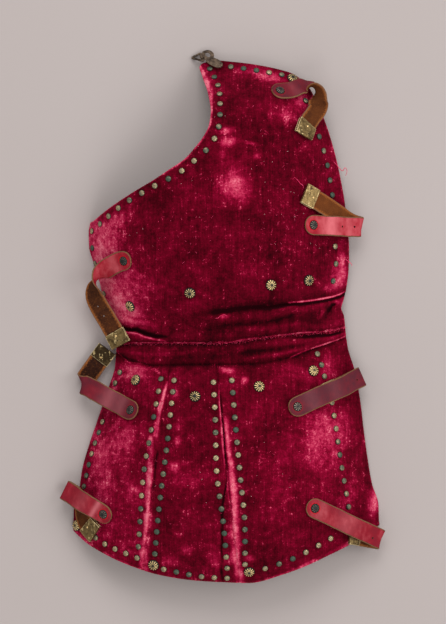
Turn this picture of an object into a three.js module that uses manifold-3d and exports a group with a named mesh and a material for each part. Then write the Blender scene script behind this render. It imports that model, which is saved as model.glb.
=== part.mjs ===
// One half of a riveted brigandine: velvet laid over plates, from the centre front to the side, with its
// straps and its shoulder clasp. It lies hollow side down. Millimetres, +Y to the shoulder, +X to the
// centre front, +Z up, and z = 0 is the surface that it lies on.
import * as THREE from "three";
import { mergeVertices } from "three/addons/utils/BufferGeometryUtils.js";
import Module from "manifold-3d";

const wasm = await Module();
wasm.setup();

// ---------------------------------------------------------------- driving dimensions
const CLOTH = 2.4; // velvet with its canvas
const PLATE = 1.2; // steel
const GAP = 0.3; // between pieces that touch or are sewn together
const HEAD_GAP = 2.4 * GAP; // under a separate rivet head, whose facets meet the facets under it
const MIDDLE = { x: 1, y: 0.3 }; // middle of the whole piece, in the pattern's own millimetres

const RIVET = { radius: 3.2, height: 1.7, sides: 6 };
const ROSETTE = { radius: 6.1, height: 3.0, sides: 12 };
const STRAP = { width: 21.5, thick: 2.0, rivetRadius: 4.6, rivetHeight: 2.4, rivetSides: 10 };
const TIP = { length: 15, sheet: 0.7 };
const CLASP = { thick: 1.5, barrel: 2.4, bore: 1.55, wire: 1.15, barrelLength: 5.4 };

// ---------------------------------------------------------------- the torso's form
// Three lines run from hem to shoulder: the side edge, the ridge and the front edge. A section across them
// is two arcs of a circle, level at the ridge. Columns: y, x, z.
const SIDE_LINE = [
  [-292.5, -174.5, 0], [-260.5, -167, 0], [-239, -160, 0], [-219, -159.5, 0], [-204, -159, 0],
  [-182.5, -153, 0], [-163, -150, 0], [-138.5, -143, 0], [-112, -134, 0], [-75.5, -121.5, 3],
  [-53, -114.5, 6], [-36, -113, 8], [-23, -110.5, 8], [-13.5, -110.5, 8], [-1.5, -113.5, 5],
  [11, -121, 2], [22, -127.5, 0], [36, -131, 0], [58.5, -138, 0], [75, -142.5, 0], [90.5, -143, 0],
  [100.5, -141.5, 0], [119.5, -141, 0], [146, -138, -4], [189, -130.5, -10], [231.5, -119, -18],
  [274.5, -108, -26],
];
const RIDGE_LINE = [
  [-292.5, 4.5, 36], [-260.5, 1, 56], [-228.5, -3, 68], [-196.5, -7.5, 75], [-164, -9.5, 77],
  [-132, -9.5, 75], [-100, -7.5, 70], [-68, -3, 62], [-48.5, 1, 56], [-28.5, 3, 53], [-9, 1, 56],
  [12.5, -7.5, 65], [36, -16, 71], [71, -22.5, 74], [103.5, -22.5, 75], [135.5, -18, 74], [162, -12, 73],
  [189, -3, 69.5], [212.5, 7.5, 62], [231.5, 16, 50], [247.5, 20.5, 35], [264, 22.5, 18.5],
  [275, 23.5, 9.5], [283, 24.5, 3],
];
const FRONT_LINE = [
  [-292.5, 187, 0], [-260.5, 178.5, 0], [-234, 173.5, 0], [-217.5, 170.5, 0], [-201.5, 170, 0],
  [-179, 163, 1], [-147, 157.5, 3], [-121.5, 154, 4], [-92.5, 150.5, 5], [-59.5, 144.5, 7],
  [-32.5, 136.5, 9], [-18.5, 134.5, 10], [0.5, 132.5, 9], [9, 129.5, 9], [16, 131.5, 9], [27.5, 134.5, 9],
  [50, 137.5, 10], [71, 138, 11], [115, 134, 12], [146, 129, 12], [178, 121.5, 14], [218.5, 108, 17],
  [231.5, 101.5, 16], [242.5, 96.5, 13], [252.5, 89, 8], [264, 82.5, 2], [280, 76, -6],
];

// The armhole is cut through that form, from the underarm corner to the shoulder. Columns: y, x.
const ARMHOLE = [
  [100.5, -140], [114.5, -122], [130.5, -97.5], [146, -71], [155.5, -56.5], [168.5, -37.5],
  [180.5, -27], [190, -19.5], [204, -12.5], [219, -10.5], [238.5, -13.5], [254, -18.5], [268.5, -23.5],
];

// Lines across the garment, each from the side or armhole to the front edge. Columns: x, y.
const HEM = [
  [-156, -229.5], [-141.5, -243], [-126.5, -252], [-96, -266.5], [-65.5, -276.5], [-22.5, -283],
  [27, -285], [63, -275.5], [99.5, -260], [134.5, -242], [162.5, -223.5],
];
const BAND_LINE = [
  [-113, -39], [-97.5, -48], [-76, -52.5], [-33, -51.5], [41.5, -50.5], [79, -42.5], [97.5, -35.5],
  [116.5, -29.5], [135, -22],
];
const WAIST_SEAM = [
  [-111.5, -30], [-82, -29], [-18, -29], [13.5, -28], [41.5, -23.5], [70.5, -20], [111.5, -17], [134, -12],
];
const WAIST_TOP = [[-129.5, 30], [-40, 26], [40, 28], [135.5, 34]];
const UNDERARM = [[-140, 100.5], [0, 103], [134, 108]];
const SHOULDER = [
  [-23.5, 268.5], [-19.5, 272.5], [-5.5, 275.5], [10.5, 274], [44, 269.5], [76, 261.5], [89, 252.5],
];

// The two seams of the skirt, from its top to the hem. Columns: y, x.
const SEAM_SIDE = [
  [-272.5, -83], [-257.5, -82.5], [-228.5, -78], [-200.5, -75.5], [-181.5, -74.5], [-151.5, -71.5],
  [-125.5, -69.5], [-99, -65.5], [-78.5, -59], [-53, -54.5],
];
const SEAM_FRONT = [
  [-284, 19.5], [-256.5, 16], [-235, 13], [-208, 10.5], [-186.5, 8], [-154, 5.5], [-131, 2], [-104, 1],
  [-82.5, -1.5], [-53, -4.5],
];

// Folds and sewn ridges. A fold's rise is its height over the plain form, negative for a crease; it dies
// away across its width, and towards the ends that "fades" names. The path's points are x, y.
const FOLDS = [
  { rise: -3.6, width: 4.5, fades: "end", path: [[-112, -12], [-90, -14], [-71, -21], [-50, -22.5]] },
  { rise: 3.0, width: 6, fades: "end", path: [[-112, -4], [-88, -6], [-68, -12], [-46, -14]] },
  { rise: -4.4, width: 5, fades: "end", path: [[134, 28], [106, 21], [76, 14.5], [18, 8], [-50, 0]] },
  { rise: 3.4, width: 6.5, fades: "end", path: [[134, 17], [106, 11], [76, 4], [18, -2], [-40, -8]] },
  { rise: -2.4, width: 3, fades: "both", path: [[125, 14], [114, 8], [112, -2]] },
  { rise: 2.2, width: 5, fades: "both", path: [[-60, 10], [-20, 2], [20, -10]] },
  { rise: -2.6, width: 3.2, fades: "none", path: WAIST_SEAM },
  { rise: 1.8, width: 4.5, fades: "none", path: WAIST_SEAM.map(([x, y]) => [x, y + 7]) },
  { rise: 2.2, width: 5, fades: "none", path: WAIST_SEAM.map(([x, y]) => [x, y - 7]) },
  { rise: -2.4, width: 3.4, fades: "none", path: BAND_LINE },
  { rise: -1.6, width: 4, fades: "end", path: [[-76, -52.5], [-67, -59.5], [-60, -72]] },
  { rise: 1.3, width: 3.6, fades: "both", path: SEAM_SIDE.map(([y, x]) => [x - 2, y]) },
  { rise: 1.3, width: 3.6, fades: "both", path: SEAM_FRONT.map(([y, x]) => [x + 3, y]) },
];

const lerp = THREE.MathUtils.lerp;
const clamp = THREE.MathUtils.clamp;
const smoothstep = THREE.MathUtils.smoothstep;

// A smooth rising curve through a table's rows: column 0 is the input, column "value" the result. Its
// slope at a row is the harmonic mean of its neighbours', so it never overshoots.
function through(table, value = 1) {
  const n = table.length;
  const chord = (i) => (table[i + 1][value] - table[i][value]) / (table[i + 1][0] - table[i][0]);
  const slope = table.map((row, i) => {
    if (i === 0) return chord(0);
    if (i === n - 1) return chord(n - 2);
    const before = chord(i - 1);
    const after = chord(i);
    return before * after <= 0 ? 0 : (2 * before * after) / (before + after);
  });
  return (input) => {
    const q = clamp(input, table[0][0], table[n - 1][0]);
    let i = 0;
    while (i < n - 2 && q > table[i + 1][0]) i += 1;
    const span = table[i + 1][0] - table[i][0];
    const t = (q - table[i][0]) / span;
    const back = 1 - t;
    return (
      back * back * (1 + 2 * t) * table[i][value] +
      t * t * (3 - 2 * t) * table[i + 1][value] +
      t * back * span * (back * slope[i] - t * slope[i + 1])
    );
  };
}

const sideX = through(SIDE_LINE);
const sideZ = through(SIDE_LINE, 2);
const ridgeX = through(RIDGE_LINE);
const ridgeZ = through(RIDGE_LINE, 2);
const frontX = through(FRONT_LINE);
const frontZ = through(FRONT_LINE, 2);
const armholeX = through(ARMHOLE);
const seamSideX = through(SEAM_SIDE);
const seamFrontX = through(SEAM_FRONT);
const UNDERARM_Y = ARMHOLE[0][0];
const leftX = (y) => (y > UNDERARM_Y ? armholeX(y) : sideX(y));

// How far an arc that is level at the ridge has dropped at a distance, if it drops "fall" over "reach".
function arcDrop(distance, reach, fall) {
  const radius = (reach * reach + fall * fall) / (2 * fall);
  const d = Math.min(distance, 0.97 * radius);
  return radius - Math.sqrt(radius * radius - d * d);
}

// Height of the plain form over a point of the plan.
function formHeight(x, y) {
  const top = ridgeZ(y);
  const middle = ridgeX(y);
  return x < middle
    ? top - arcDrop(middle - x, middle - sideX(y), top - sideZ(y))
    : top - arcDrop(x - middle, frontX(y) - middle, top - frontZ(y));
}

// Distance from a point to a fold's path, and how far along the path the nearest point is, 0 to 1.
function nearest(path, x, y) {
  let best = Infinity;
  let along = 0;
  for (let i = 0; i < path.length - 1; i += 1) {
    const [ax, ay] = path[i];
    const [bx, by] = path[i + 1];
    const dx = bx - ax;
    const dy = by - ay;
    const t = clamp(((x - ax) * dx + (y - ay) * dy) / (dx * dx + dy * dy), 0, 1);
    const far = Math.hypot(x - ax - t * dx, y - ay - t * dy);
    if (far < best) {
      best = far;
      along = (i + t) / (path.length - 1);
    }
  }
  return [best, along];
}

function foldHeight(x, y) {
  let sum = 0;
  for (const { rise, width, fades, path } of FOLDS) {
    const [far, along] = nearest(path, x, y);
    if (far > 3 * width) continue;
    const starts = fades === "both" ? smoothstep(along, 0, 0.2) : 1;
    const ends = fades === "none" ? 1 : smoothstep(1 - along, 0, 0.35);
    sum += rise * Math.exp(-((far / width) ** 2)) * starts * ends;
  }
  return sum;
}

// Folds flatten out at the rim, where the cloth lies on the floor.
const clothHeight = (x, y) => {
  const plain = formHeight(x, y);
  return plain + foldHeight(x, y) * smoothstep(plain, 0, 12);
};

// Unit normal of a height function, facing up and out.
function normalOf(height, x, y) {
  const step = 0.5;
  const dx = (height(x + step, y) - height(x - step, y)) / (2 * step);
  const dy = (height(x, y + step) - height(x, y - step)) / (2 * step);
  return new THREE.Vector3(-dx, -dy, 1).normalize();
}

// ---------------------------------------------------------------- solids from grids
const COLOURS = {
  velvet: { color: 0x7d1230, roughness: 0.85, metalness: 0 },
  steel: { color: 0x56534f, roughness: 0.5, metalness: 1 },
  leather: { color: 0x9a3138, roughness: 0.6, metalness: 0 },
  brass: { color: 0x8c7346, roughness: 0.45, metalness: 1 },
  iron: { color: 0x6b6048, roughness: 0.5, metalness: 1 },
};

const brigandine = new THREE.Group();

function addMesh(name, geometry, finish) {
  const mesh = new THREE.Mesh(geometry, new THREE.MeshStandardMaterial(COLOURS[finish]));
  mesh.name = name;
  brigandine.add(mesh);
  return mesh;
}

function geometryOf(points, triangles) {
  const geometry = new THREE.BufferGeometry().setFromPoints(points);
  geometry.setIndex(triangles);
  return geometry;
}

// A closed wall from two grids of the same size: rows of points of its upper face, and of its lower face.
function wall(upper, lower) {
  const rows = upper.length;
  const columns = upper[0].length;
  const up = (i, j) => i * columns + j;
  const down = (i, j) => rows * columns + up(i, j);
  const triangles = [];
  const quad = (a, b, c, d) => triangles.push(a, b, c, a, c, d);
  for (let i = 0; i < rows - 1; i += 1) {
    for (let j = 0; j < columns - 1; j += 1) {
      quad(up(i, j), up(i, j + 1), up(i + 1, j + 1), up(i + 1, j));
      quad(down(i, j), down(i + 1, j), down(i + 1, j + 1), down(i, j + 1));
    }
    quad(up(i, 0), up(i + 1, 0), down(i + 1, 0), down(i, 0));
    quad(up(i + 1, columns - 1), up(i, columns - 1), down(i, columns - 1), down(i + 1, columns - 1));
  }
  for (let j = 0; j < columns - 1; j += 1) {
    quad(up(0, j + 1), up(0, j), down(0, j), down(0, j + 1));
    quad(up(rows - 1, j), up(rows - 1, j + 1), down(rows - 1, j + 1), down(rows - 1, j));
  }
  return geometryOf([...upper.flat(), ...lower.flat()], triangles);
}

// A closed band through sections of the same number of corners, each turning the same way.
function band(sections) {
  const corners = sections[0].length;
  const triangles = [];
  const at = (i, k) => i * corners + (k % corners);
  for (let i = 0; i < sections.length - 1; i += 1)
    for (let k = 0; k < corners; k += 1)
      triangles.push(at(i, k), at(i, k + 1), at(i + 1, k + 1), at(i, k), at(i + 1, k + 1), at(i + 1, k));
  const last = sections.length - 1;
  for (let k = 1; k < corners - 1; k += 1) {
    triangles.push(at(0, 0), at(0, k + 1), at(0, k));
    triangles.push(at(last, 0), at(last, k), at(last, k + 1));
  }
  return geometryOf(sections.flat(), triangles);
}

function toSolid(geometry) {
  const bare = geometry.clone();
  for (const name of Object.keys(bare.attributes)) if (name !== "position") bare.deleteAttribute(name);
  const merged = mergeVertices(bare, 1e-4);
  const mesh = new wasm.Mesh({
    numProp: 3,
    vertProperties: merged.attributes.position.array,
    triVerts: new Uint32Array(merged.index.array),
  });
  return new wasm.Manifold(mesh);
}

function fromSolid(solid) {
  const mesh = solid.getMesh();
  const geometry = new THREE.BufferGeometry();
  geometry.setAttribute("position", new THREE.BufferAttribute(mesh.vertProperties, 3));
  geometry.setIndex(new THREE.BufferAttribute(mesh.triVerts, 1));
  return geometry;
}

// ---------------------------------------------------------------- rows and columns of the cloth
// A line across the garment as y over its share of the width, 0 at the side and 1 at the front.
function across(line) {
  const y = through(line);
  const first = line[0][0];
  const last = line[line.length - 1][0];
  return (share) => y(lerp(first, last, share));
}

const LINES = {
  hem: across(HEM),
  band: across(BAND_LINE),
  seam: across(WAIST_SEAM),
  waistTop: across(WAIST_TOP),
  underarm: across(UNDERARM),
  shoulder: across(SHOULDER),
};

// The plan point at a share of the width, on the row that lies a part of the way from one line to the next.
function planPoint({ from, to, part, shift = 0 }, share) {
  const row = (s) => lerp(LINES[from](s), LINES[to](s), part) + shift;
  const x = lerp(leftX(row(0)), frontX(row(1)), share);
  return [x, row(share)];
}

// Rows from one line to the next. The first and last are moved in by half the seam's gap.
function rowsBetween(spans, gapAtStart, gapAtEnd) {
  const rows = [];
  spans.forEach(({ from, to, steps }, index) => {
    for (let k = index === 0 ? 0 : 1; k <= steps; k += 1) rows.push({ from, to, part: k / steps });
  });
  const half = 0.65 * GAP;
  if (gapAtStart) rows[0].shift = half;
  if (gapAtEnd) rows[rows.length - 1].shift = -half;
  return rows;
}

// Columns lie closer together towards a steep edge.
const crowded = (t) => t - 0.1 * Math.sin(2 * Math.PI * t);
const evenly = (count) => Array.from({ length: count + 1 }, (_, k) => k / count);

// Upper and lower faces of a wall, "depth" under the cloth's face. Its share of the width runs between two
// limits, which may change from row to row.
function clothWall(rows, columns, limits, depth, thick) {
  const upper = [];
  const lower = [];
  for (const row of rows) {
    const [low, high] = limits(row);
    const line = columns.map((t) => planPoint(row, lerp(low, high, t)));
    const sunk = (by) =>
      line.map(([x, y]) => {
        const point = new THREE.Vector3(x, y, clothHeight(x, y));
        point.addScaledVector(normalOf(formHeight, x, y), -by);
        point.z = Math.max(point.z, 0);
        return point;
      });
    upper.push(sunk(depth));
    lower.push(sunk(depth + thick));
  }
  return wall(upper, lower);
}

// The share of the width where a seam crosses a row, moved by a distance along the row.
function seamShare(row, seamX, moved) {
  const [left] = planPoint(row, 0);
  const [right] = planPoint(row, 1);
  let share = 0.5;
  for (let k = 0; k < 6; k += 1) {
    const [, y] = planPoint(row, share);
    share = (seamX(y) + moved - left) / (right - left);
  }
  return share;
}

// ---------------------------------------------------------------- small rivets, raised on the cloth
// Each row is spaced evenly along the cloth itself. The path's points are x, y.
const RIVET_ROWS = [
  { on: "breast", count: 8, path: [[-12, 265.5], [-3, 246], [-1, 224.5], [-2.5, 201.5], [-7, 189]] },
  { on: "breast", count: 11, path: [[-16, 176.5], [-42, 154.5], [-77, 135.5], [-105, 119], [-138.5, 91.5]] },
  { on: "breast", count: 2, path: [[-138, 73.5], [-135, 57]] },
  { on: "breast", count: 1, path: [[-125.5, 24.5]] },
  { on: "breast", count: 5, path: [[10.5, 267.5], [38.5, 263.5], [65, 259]] },
  { on: "breast", count: 1, path: [[90.5, 231]] },
  { on: "breast", count: 5, path: [[105, 192.5], [113, 165.5], [119, 130]] },
  { on: "breast", count: 3, path: [[122, 75], [123, 56], [120, 38]] },
  { on: "skirt_side", count: 2, path: [[-108.5, -60], [-113.5, -71.5]] },
  { on: "skirt_side", count: 7, path: [[-127, -113], [-139, -148.5], [-147, -182.5]] },
  { on: "skirt_side", count: 1, path: [[-153, -215]] },
  { on: "skirt_side", count: 6, path: [[-143.5, -230], [-124, -243.5], [-102.5, -252.5], [-89.5, -257.5]] },
  { on: "skirt_side", count: 14, path: [[-64, -66.5], [-74.5, -123], [-82, -165.5], [-88, -245.5]] },
  { on: "skirt_middle", count: 16, path: [[-50, -68], [-56.5, -129.5], [-66, -205], [-70.5, -253]] },
  { on: "skirt_middle", count: 16, path: [[-8, -70], [-6, -113], [-4.5, -166.5], [2.5, -220], [6.5, -268]] },
  { on: "skirt_middle", count: 6, path: [[-61, -269.5], [-23, -277], [6.5, -279]] },
  { on: "skirt_front", count: 16, path: [[11.5, -68], [16, -123], [21, -175.5], [25, -216], [25.5, -264]] },
  { on: "skirt_front", count: 6, path: [[47, -268.5], [77, -258], [117, -237]] },
  { on: "skirt_front", count: 3, path: [[103, -40], [107, -50.5], [110.5, -64]] },
  { on: "skirt_front", count: 9, path: [[118.5, -92], [123, -120], [129, -161], [136.5, -203.5]] },
];

// A smooth plan curve through a path, as points a short step apart, each on the cloth.
function onCloth(path) {
  const flat = path.map(([x, y]) => new THREE.Vector3(x, y, 0));
  const curve = new THREE.CatmullRomCurve3(flat, false, "centripetal");
  return curve.getPoints(120).map(({ x, y }) => new THREE.Vector3(x, y, clothHeight(x, y)));
}

function evenSpots(path, count) {
  if (count === 1) return [path[0]];
  const points = onCloth(path);
  const run = [0];
  for (let i = 1; i < points.length; i += 1) run.push(run[i - 1] + points[i].distanceTo(points[i - 1]));
  return evenly(count - 1).map((part) => {
    const want = part * run[run.length - 1];
    const i = Math.max(1, run.findIndex((length) => length >= want - 1e-6));
    const t = (want - run[i - 1]) / (run[i] - run[i - 1]);
    return [lerp(points[i - 1].x, points[i].x, t), lerp(points[i - 1].y, points[i].y, t)];
  });
}

// A turned head: its profile is radius, height, from the axis at its foot to the axis at its top.
function turned(profile, sides) {
  const points = profile.map(([radius, height]) => new THREE.Vector2(radius, height));
  return new THREE.LatheGeometry(points, sides).rotateX(Math.PI / 2);
}

// Stands a geometry that faces +Z on a point, facing along a direction.
function stand(geometry, point, facing) {
  const turn = new THREE.Quaternion().setFromUnitVectors(new THREE.Vector3(0, 0, 1), facing);
  return geometry.applyMatrix4(new THREE.Matrix4().compose(point, turn, new THREE.Vector3(1, 1, 1)));
}

function rivetHead() {
  const { radius, height, sides } = RIVET;
  const sunk = -0.8;
  return turned([[0, sunk], [radius, sunk], [radius, 0.25], [0, height]], sides);
}

function withRivets(panel, geometry) {
  let solid = toSolid(geometry);
  for (const { on, count, path } of RIVET_ROWS) {
    if (on !== panel) continue;
    for (const [x, y] of evenSpots(path, count)) {
      const spot = new THREE.Vector3(x, y, clothHeight(x, y));
      solid = solid.add(toSolid(stand(rivetHead(), spot, normalOf(clothHeight, x, y))));
    }
  }
  return fromSolid(solid);
}

// ---------------------------------------------------------------- the five pieces of velvet
const whole = () => [0, 1];

function breastCloth() {
  const rows = rowsBetween(
    [
      { from: "seam", to: "waistTop", steps: 11 },
      { from: "waistTop", to: "underarm", steps: 4 },
      { from: "underarm", to: "shoulder", steps: 13 },
    ],
    true,
    false,
  );
  return clothWall(rows, evenly(25).map(crowded), whole, 0, CLOTH);
}

function waistCloth() {
  const rows = rowsBetween([{ from: "band", to: "seam", steps: 5 }], true, true);
  return clothWall(rows, evenly(25).map(crowded), whole, 0, CLOTH);
}

const skirtRows = () => rowsBetween([{ from: "hem", to: "band", steps: 16 }], false, true);
const SKIRT_PANELS = {
  side: {
    columns: 8,
    limits: (row) => [0, seamShare(row, seamSideX, -GAP / 2)],
  },
  middle: {
    columns: 6,
    limits: (row) => [seamShare(row, seamSideX, GAP / 2), seamShare(row, seamFrontX, -GAP / 2)],
  },
  front: {
    columns: 11,
    limits: (row) => [seamShare(row, seamFrontX, GAP / 2), 1],
  },
};

addMesh("cloth_breast", withRivets("breast", breastCloth()), "velvet");
addMesh("cloth_waist", waistCloth(), "velvet");
for (const [name, { columns, limits }] of Object.entries(SKIRT_PANELS)) {
  const panel = "skirt_" + name;
  const cloth = clothWall(skirtRows(), evenly(columns), limits, 0, CLOTH);
  addMesh("cloth_" + panel, withRivets(panel, cloth), "velvet");
}

// ---------------------------------------------------------------- plates under the velvet
const PLATE_DEPTH = CLOTH + 0.9;
const plateMargin = 0.035;

function plate(name, spans, columns, limits) {
  const rows = rowsBetween(spans, false, false);
  const inset = rows.slice(1, -1);
  const narrowed = (row) => {
    const [low, high] = limits(row);
    return [low + plateMargin, high - plateMargin];
  };
  addMesh(name, clothWall(inset, evenly(columns), narrowed, PLATE_DEPTH, PLATE), "steel");
}

plate(
  "plate_breast",
  [
    { from: "waistTop", to: "underarm", steps: 4 },
    { from: "underarm", to: "shoulder", steps: 10 },
  ],
  9,
  whole,
);
for (const [name, { columns, limits }] of Object.entries(SKIRT_PANELS)) {
  const spans = [{ from: "hem", to: "band", steps: 10 }];
  plate("plate_skirt_" + name, spans, Math.ceil(columns / 2) + 1, limits);
}

// ---------------------------------------------------------------- rosette rivets
const ROSETTES = [
  [-97, 11], [-33, 25], [53, 33.5], [93.5, 38.5], [-91, -68], [-27.5, -85], [40.5, -74.5], [98.5, -58],
  [-72, -265], [30, -272], [-154.6, -224.4], [76.5, 255],
];

function rosette() {
  const { radius, height, sides } = ROSETTE;
  const edge = [[0, 0], [radius, 0], [radius, 0.3 * height]];
  const crown = [[0.72 * radius, 0.75 * height], [0.3 * radius, 0.8 * height], [0, height]];
  return turned([...edge, ...crown], sides);
}

// The foot of a head of some radius that stands clear of the cloth all round.
function footOnCloth(x, y, facing, radius) {
  const foot = new THREE.Vector3(x, y, clothHeight(x, y));
  const turn = new THREE.Quaternion().setFromUnitVectors(new THREE.Vector3(0, 0, 1), facing);
  let lift = 0;
  for (const part of evenly(12)) {
    const angle = 2 * Math.PI * part;
    const rim = new THREE.Vector3(radius * Math.cos(angle), radius * Math.sin(angle), 0);
    rim.applyQuaternion(turn).add(foot);
    lift = Math.max(lift, (clothHeight(rim.x, rim.y) - rim.z) * facing.z);
  }
  return foot.addScaledVector(facing, lift + HEAD_GAP);
}

ROSETTES.forEach(([x, y], index) => {
  const facing = normalOf(clothHeight, x, y);
  const foot = footOnCloth(x, y, facing, ROSETTE.radius);
  const mesh = addMesh("rosette_" + (index + 1), rosette(), "brass");
  mesh.position.copy(foot);
  mesh.quaternion.setFromUnitVectors(new THREE.Vector3(0, 0, 1), facing);
});

// ---------------------------------------------------------------- straps
const degrees = THREE.MathUtils.degToRad;

// A station of a strap's middle line: its place and the direction across the strap. "azimuth" turns that
// direction in the plan from +X, and "pitch" lifts it.
function at(x, y, z, azimuth, pitch = 0) {
  const flat = Math.cos(degrees(pitch));
  const a = degrees(azimuth);
  return {
    place: new THREE.Vector3(x, y, z),
    side: new THREE.Vector3(flat * Math.cos(a), flat * Math.sin(a), Math.sin(degrees(pitch))),
  };
}

// A station that lies on the velvet, or "rise" above it.
function on(x, y, azimuth, rise = 0) {
  const normal = normalOf(formHeight, x, y);
  const a = degrees(azimuth);
  const side = new THREE.Vector3(Math.cos(a), Math.sin(a), 0);
  side.z = -(side.x * normal.x + side.y * normal.y) / normal.z;
  const place = new THREE.Vector3(x, y, clothHeight(x, y));
  place.addScaledVector(normal, STRAP.thick / 2 + 1.5 * GAP + rise);
  return { place, side: side.normalize() };
}

// Each strap from its round riveted end to its brass end, grain side up where it starts. "rivet" is how far
// the rivet is from that end.
const STRAPS = {
  shoulder: {
    rivet: 9,
    stations: [
      on(54, 240, 92), on(63.5, 240, 90), on(74, 241, 88, 0.5), on(84, 243.8, 84, 3),
      at(91.5, 246.5, 21, 80, -38), at(97.5, 246.5, 22, 85, -80), at(103, 242, 23, 215, -52),
      at(104.8, 236, 24.5, 200, -38), at(104, 229.5, 27, 188, -32), on(100.5, 221.5, 172, 4),
      on(95.8, 213.5, 162, 2.6), on(90.5, 205, 154, 2), on(88.3, 199, 152, 2), on(86.2, 193, 152, 2),
    ],
  },
  chest_front: {
    rivet: 10,
    stations: [
      on(89, 97.5, 90), on(99.5, 97.5, 90), on(112, 96.8, 88, 3), on(124, 96.2, 86, 4.5),
      at(135, 96, 22, 85), at(145, 95.8, 21, 82), at(150, 96, 18.4, 80), at(145, 97.5, 15.8, 76),
      at(136, 101.5, 16.5, 70, -4),
      on(126.5, 107.5, 64, 1), on(114, 115.5, 61, 1.8), on(103.5, 122, 61, 2), on(87.6, 131.3, 61, 2),
    ],
  },
  chest_side: {
    rivet: 9.5,
    stations: [
      on(-95, 57.5, 290), on(-104, 59.5, 292), on(-118.8, 53.5, 298, 2), at(-128.4, 46.5, 27, 302, -28),
      at(-133.4, 39.6, 25, 308, -76), at(-135.6, 33, 22.5, 198, -56), at(-135.8, 22.5, 19, 188, -26),
      at(-131.2, 11.8, 17.5, 198, -14), at(-123, -2, 19, 205, -10), at(-113.4, -18.7, 21, 208, -12),
      at(-107.3, -30, 21.5, 209, -14),
    ],
  },
  waist_side: {
    rivet: 9.5,
    stations: [
      on(-88.5, -102.5, 243), on(-97.5, -99.5, 243), on(-108, -93.6, 243, 1.5), on(-121, -87, 244, 5),
      at(-132.7, -80, 25, 246, 4), at(-142.5, -75.3, 19, 254, 2), at(-148.7, -72.4, 14, 272),
      at(-146.5, -68.6, 9.6, 296), at(-141, -61, 7.6, 316), at(-134, -51, 7, 322), at(-128, -43, 6.6, 322),
      at(-122.4, -35.4, 6.4, 322),
    ],
  },
  skirt_side: {
    rivet: 10,
    stations: [
      on(-116.4, -215, 240), on(-125.5, -209.5, 240, 2), on(-133.8, -205, 240, 8.2),
      at(-142.5, -200.8, 37.5, 240, -8), at(-152, -195.8, 30, 240, -6), at(-160.5, -190, 19, 241, -4),
      at(-167.6, -186, 12.6, 243), at(-164.5, -187.5, 7.4, 246), at(-157, -192, 9, 250, -8),
      at(-150, -202, 16, 242, -30), on(-146.2, -211.6, 234, 2), on(-143.4, -219.6, 228, 2.2),
      on(-138.5, -226.3, 227, 2.2), on(-133, -232, 227, 2.2),
    ],
  },
  waist_front: {
    rivet: 10,
    stations: [
      on(72, -99.5, 110), on(81.5, -96, 112), on(91, -91.5, 114, 2), on(101, -86.7, 115, 4.4),
      on(114, -81, 114, 6.2), on(128.4, -74.8, 114, 6.2), at(141, -69.2, 23, 114),
      at(148.5, -65.6, 17.5, 114), at(150.8, -64.4, 14.4, 114), at(147.5, -65.9, 12.4, 114),
      on(139.5, -69.6, 114, 0.6), on(128.4, -74.8, 114, 1.4), on(119, -79, 114, 1.8), on(110, -83, 114, 1.8),
    ],
  },
  skirt_front: {
    rivet: 10,
    stations: [
      on(91, -200.2, 62), on(100, -204.5, 62), on(112, -210.4, 63, 2), on(124, -215.8, 63, 6.5),
      on(136, -221, 63, 11), at(148, -227, 34, 63, 4), at(158, -232.2, 25, 64, 2),
      at(166, -236.2, 18.5, 66), at(170.8, -238.8, 14, 69), at(166, -238.8, 10.5, 74, 6),
      at(158, -237.2, 14, 80, 12),
      at(150, -235.2, 21.5, 86, 12), on(143, -233.6, 88, 3), on(135.8, -232.6, 88, 3),
    ],
  },
};

// Smooth stations between the given ones, closer together where the strap turns.
function strapPath(stations) {
  const places = new THREE.CatmullRomCurve3(stations.map(({ place }) => place), false, "centripetal");
  const sides = new THREE.CatmullRomCurve3(stations.map(({ side }) => side), false, "catmullrom");
  const last = stations.length - 1;
  const stops = [];
  for (let i = 0; i < last; i += 1) {
    const before = places.getTangent(i / last);
    const after = places.getTangent((i + 1) / last);
    const twist = stations[i].side.angleTo(stations[i + 1].side);
    const turn = Math.max(before.angleTo(after), twist);
    const length = stations[i].place.distanceTo(stations[i + 1].place);
    const steps = clamp(Math.ceil(Math.max(turn / 0.4, length / 7)), 1, 5);
    for (let k = 0; k < steps; k += 1) stops.push((i + k / steps) / last);
  }
  stops.push(1);
  return stops.map((t) => frameAt(places, sides, t));
}

function frameAt(places, sides, t) {
  const place = places.getPoint(t);
  const along = places.getTangent(t);
  const side = sides.getPoint(t);
  side.addScaledVector(along, -side.dot(along)).normalize();
  place.z += liftNeeded(place, side);
  return { place, along, side, grain: along.clone().cross(side) };
}

const shoulderY = through(SHOULDER);
const hemY = through(HEM);
const isOverCloth = (x, y, rim = 2) =>
  x > leftX(y) - rim && x < frontX(y) + rim && y < shoulderY(x) + rim && y > hemY(x) - rim;

// How far a strap's middle has to rise to clear the velvet under it, from one edge to the other.
function liftNeeded(place, side) {
  let lift = 0;
  for (const part of [-1, -0.75, -0.5, -0.25, 0, 0.25, 0.5, 0.75, 1]) {
    const { x, y, z } = place.clone().addScaledVector(side, (part * STRAP.width) / 2);
    if (!isOverCloth(x, y)) continue;
    const steep = normalOf(formHeight, x, y).z;
    lift = Math.max(lift, clothHeight(x, y) + (STRAP.thick / 2 + 1.3 * GAP) / Math.max(steep, 0.4) - z);
  }
  return lift;
}

// A section of a band: four corners round its middle, turning from the grain side to the flesh side.
function section({ place, side, grain }, halfWidth, halfThick, lift = 0) {
  const corner = (w, t) => place.clone().addScaledVector(side, w).addScaledVector(grain, t + lift);
  return [
    corner(-halfWidth, -halfThick),
    corner(halfWidth, -halfThick),
    corner(halfWidth, halfThick),
    corner(-halfWidth, halfThick),
  ];
}

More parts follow.
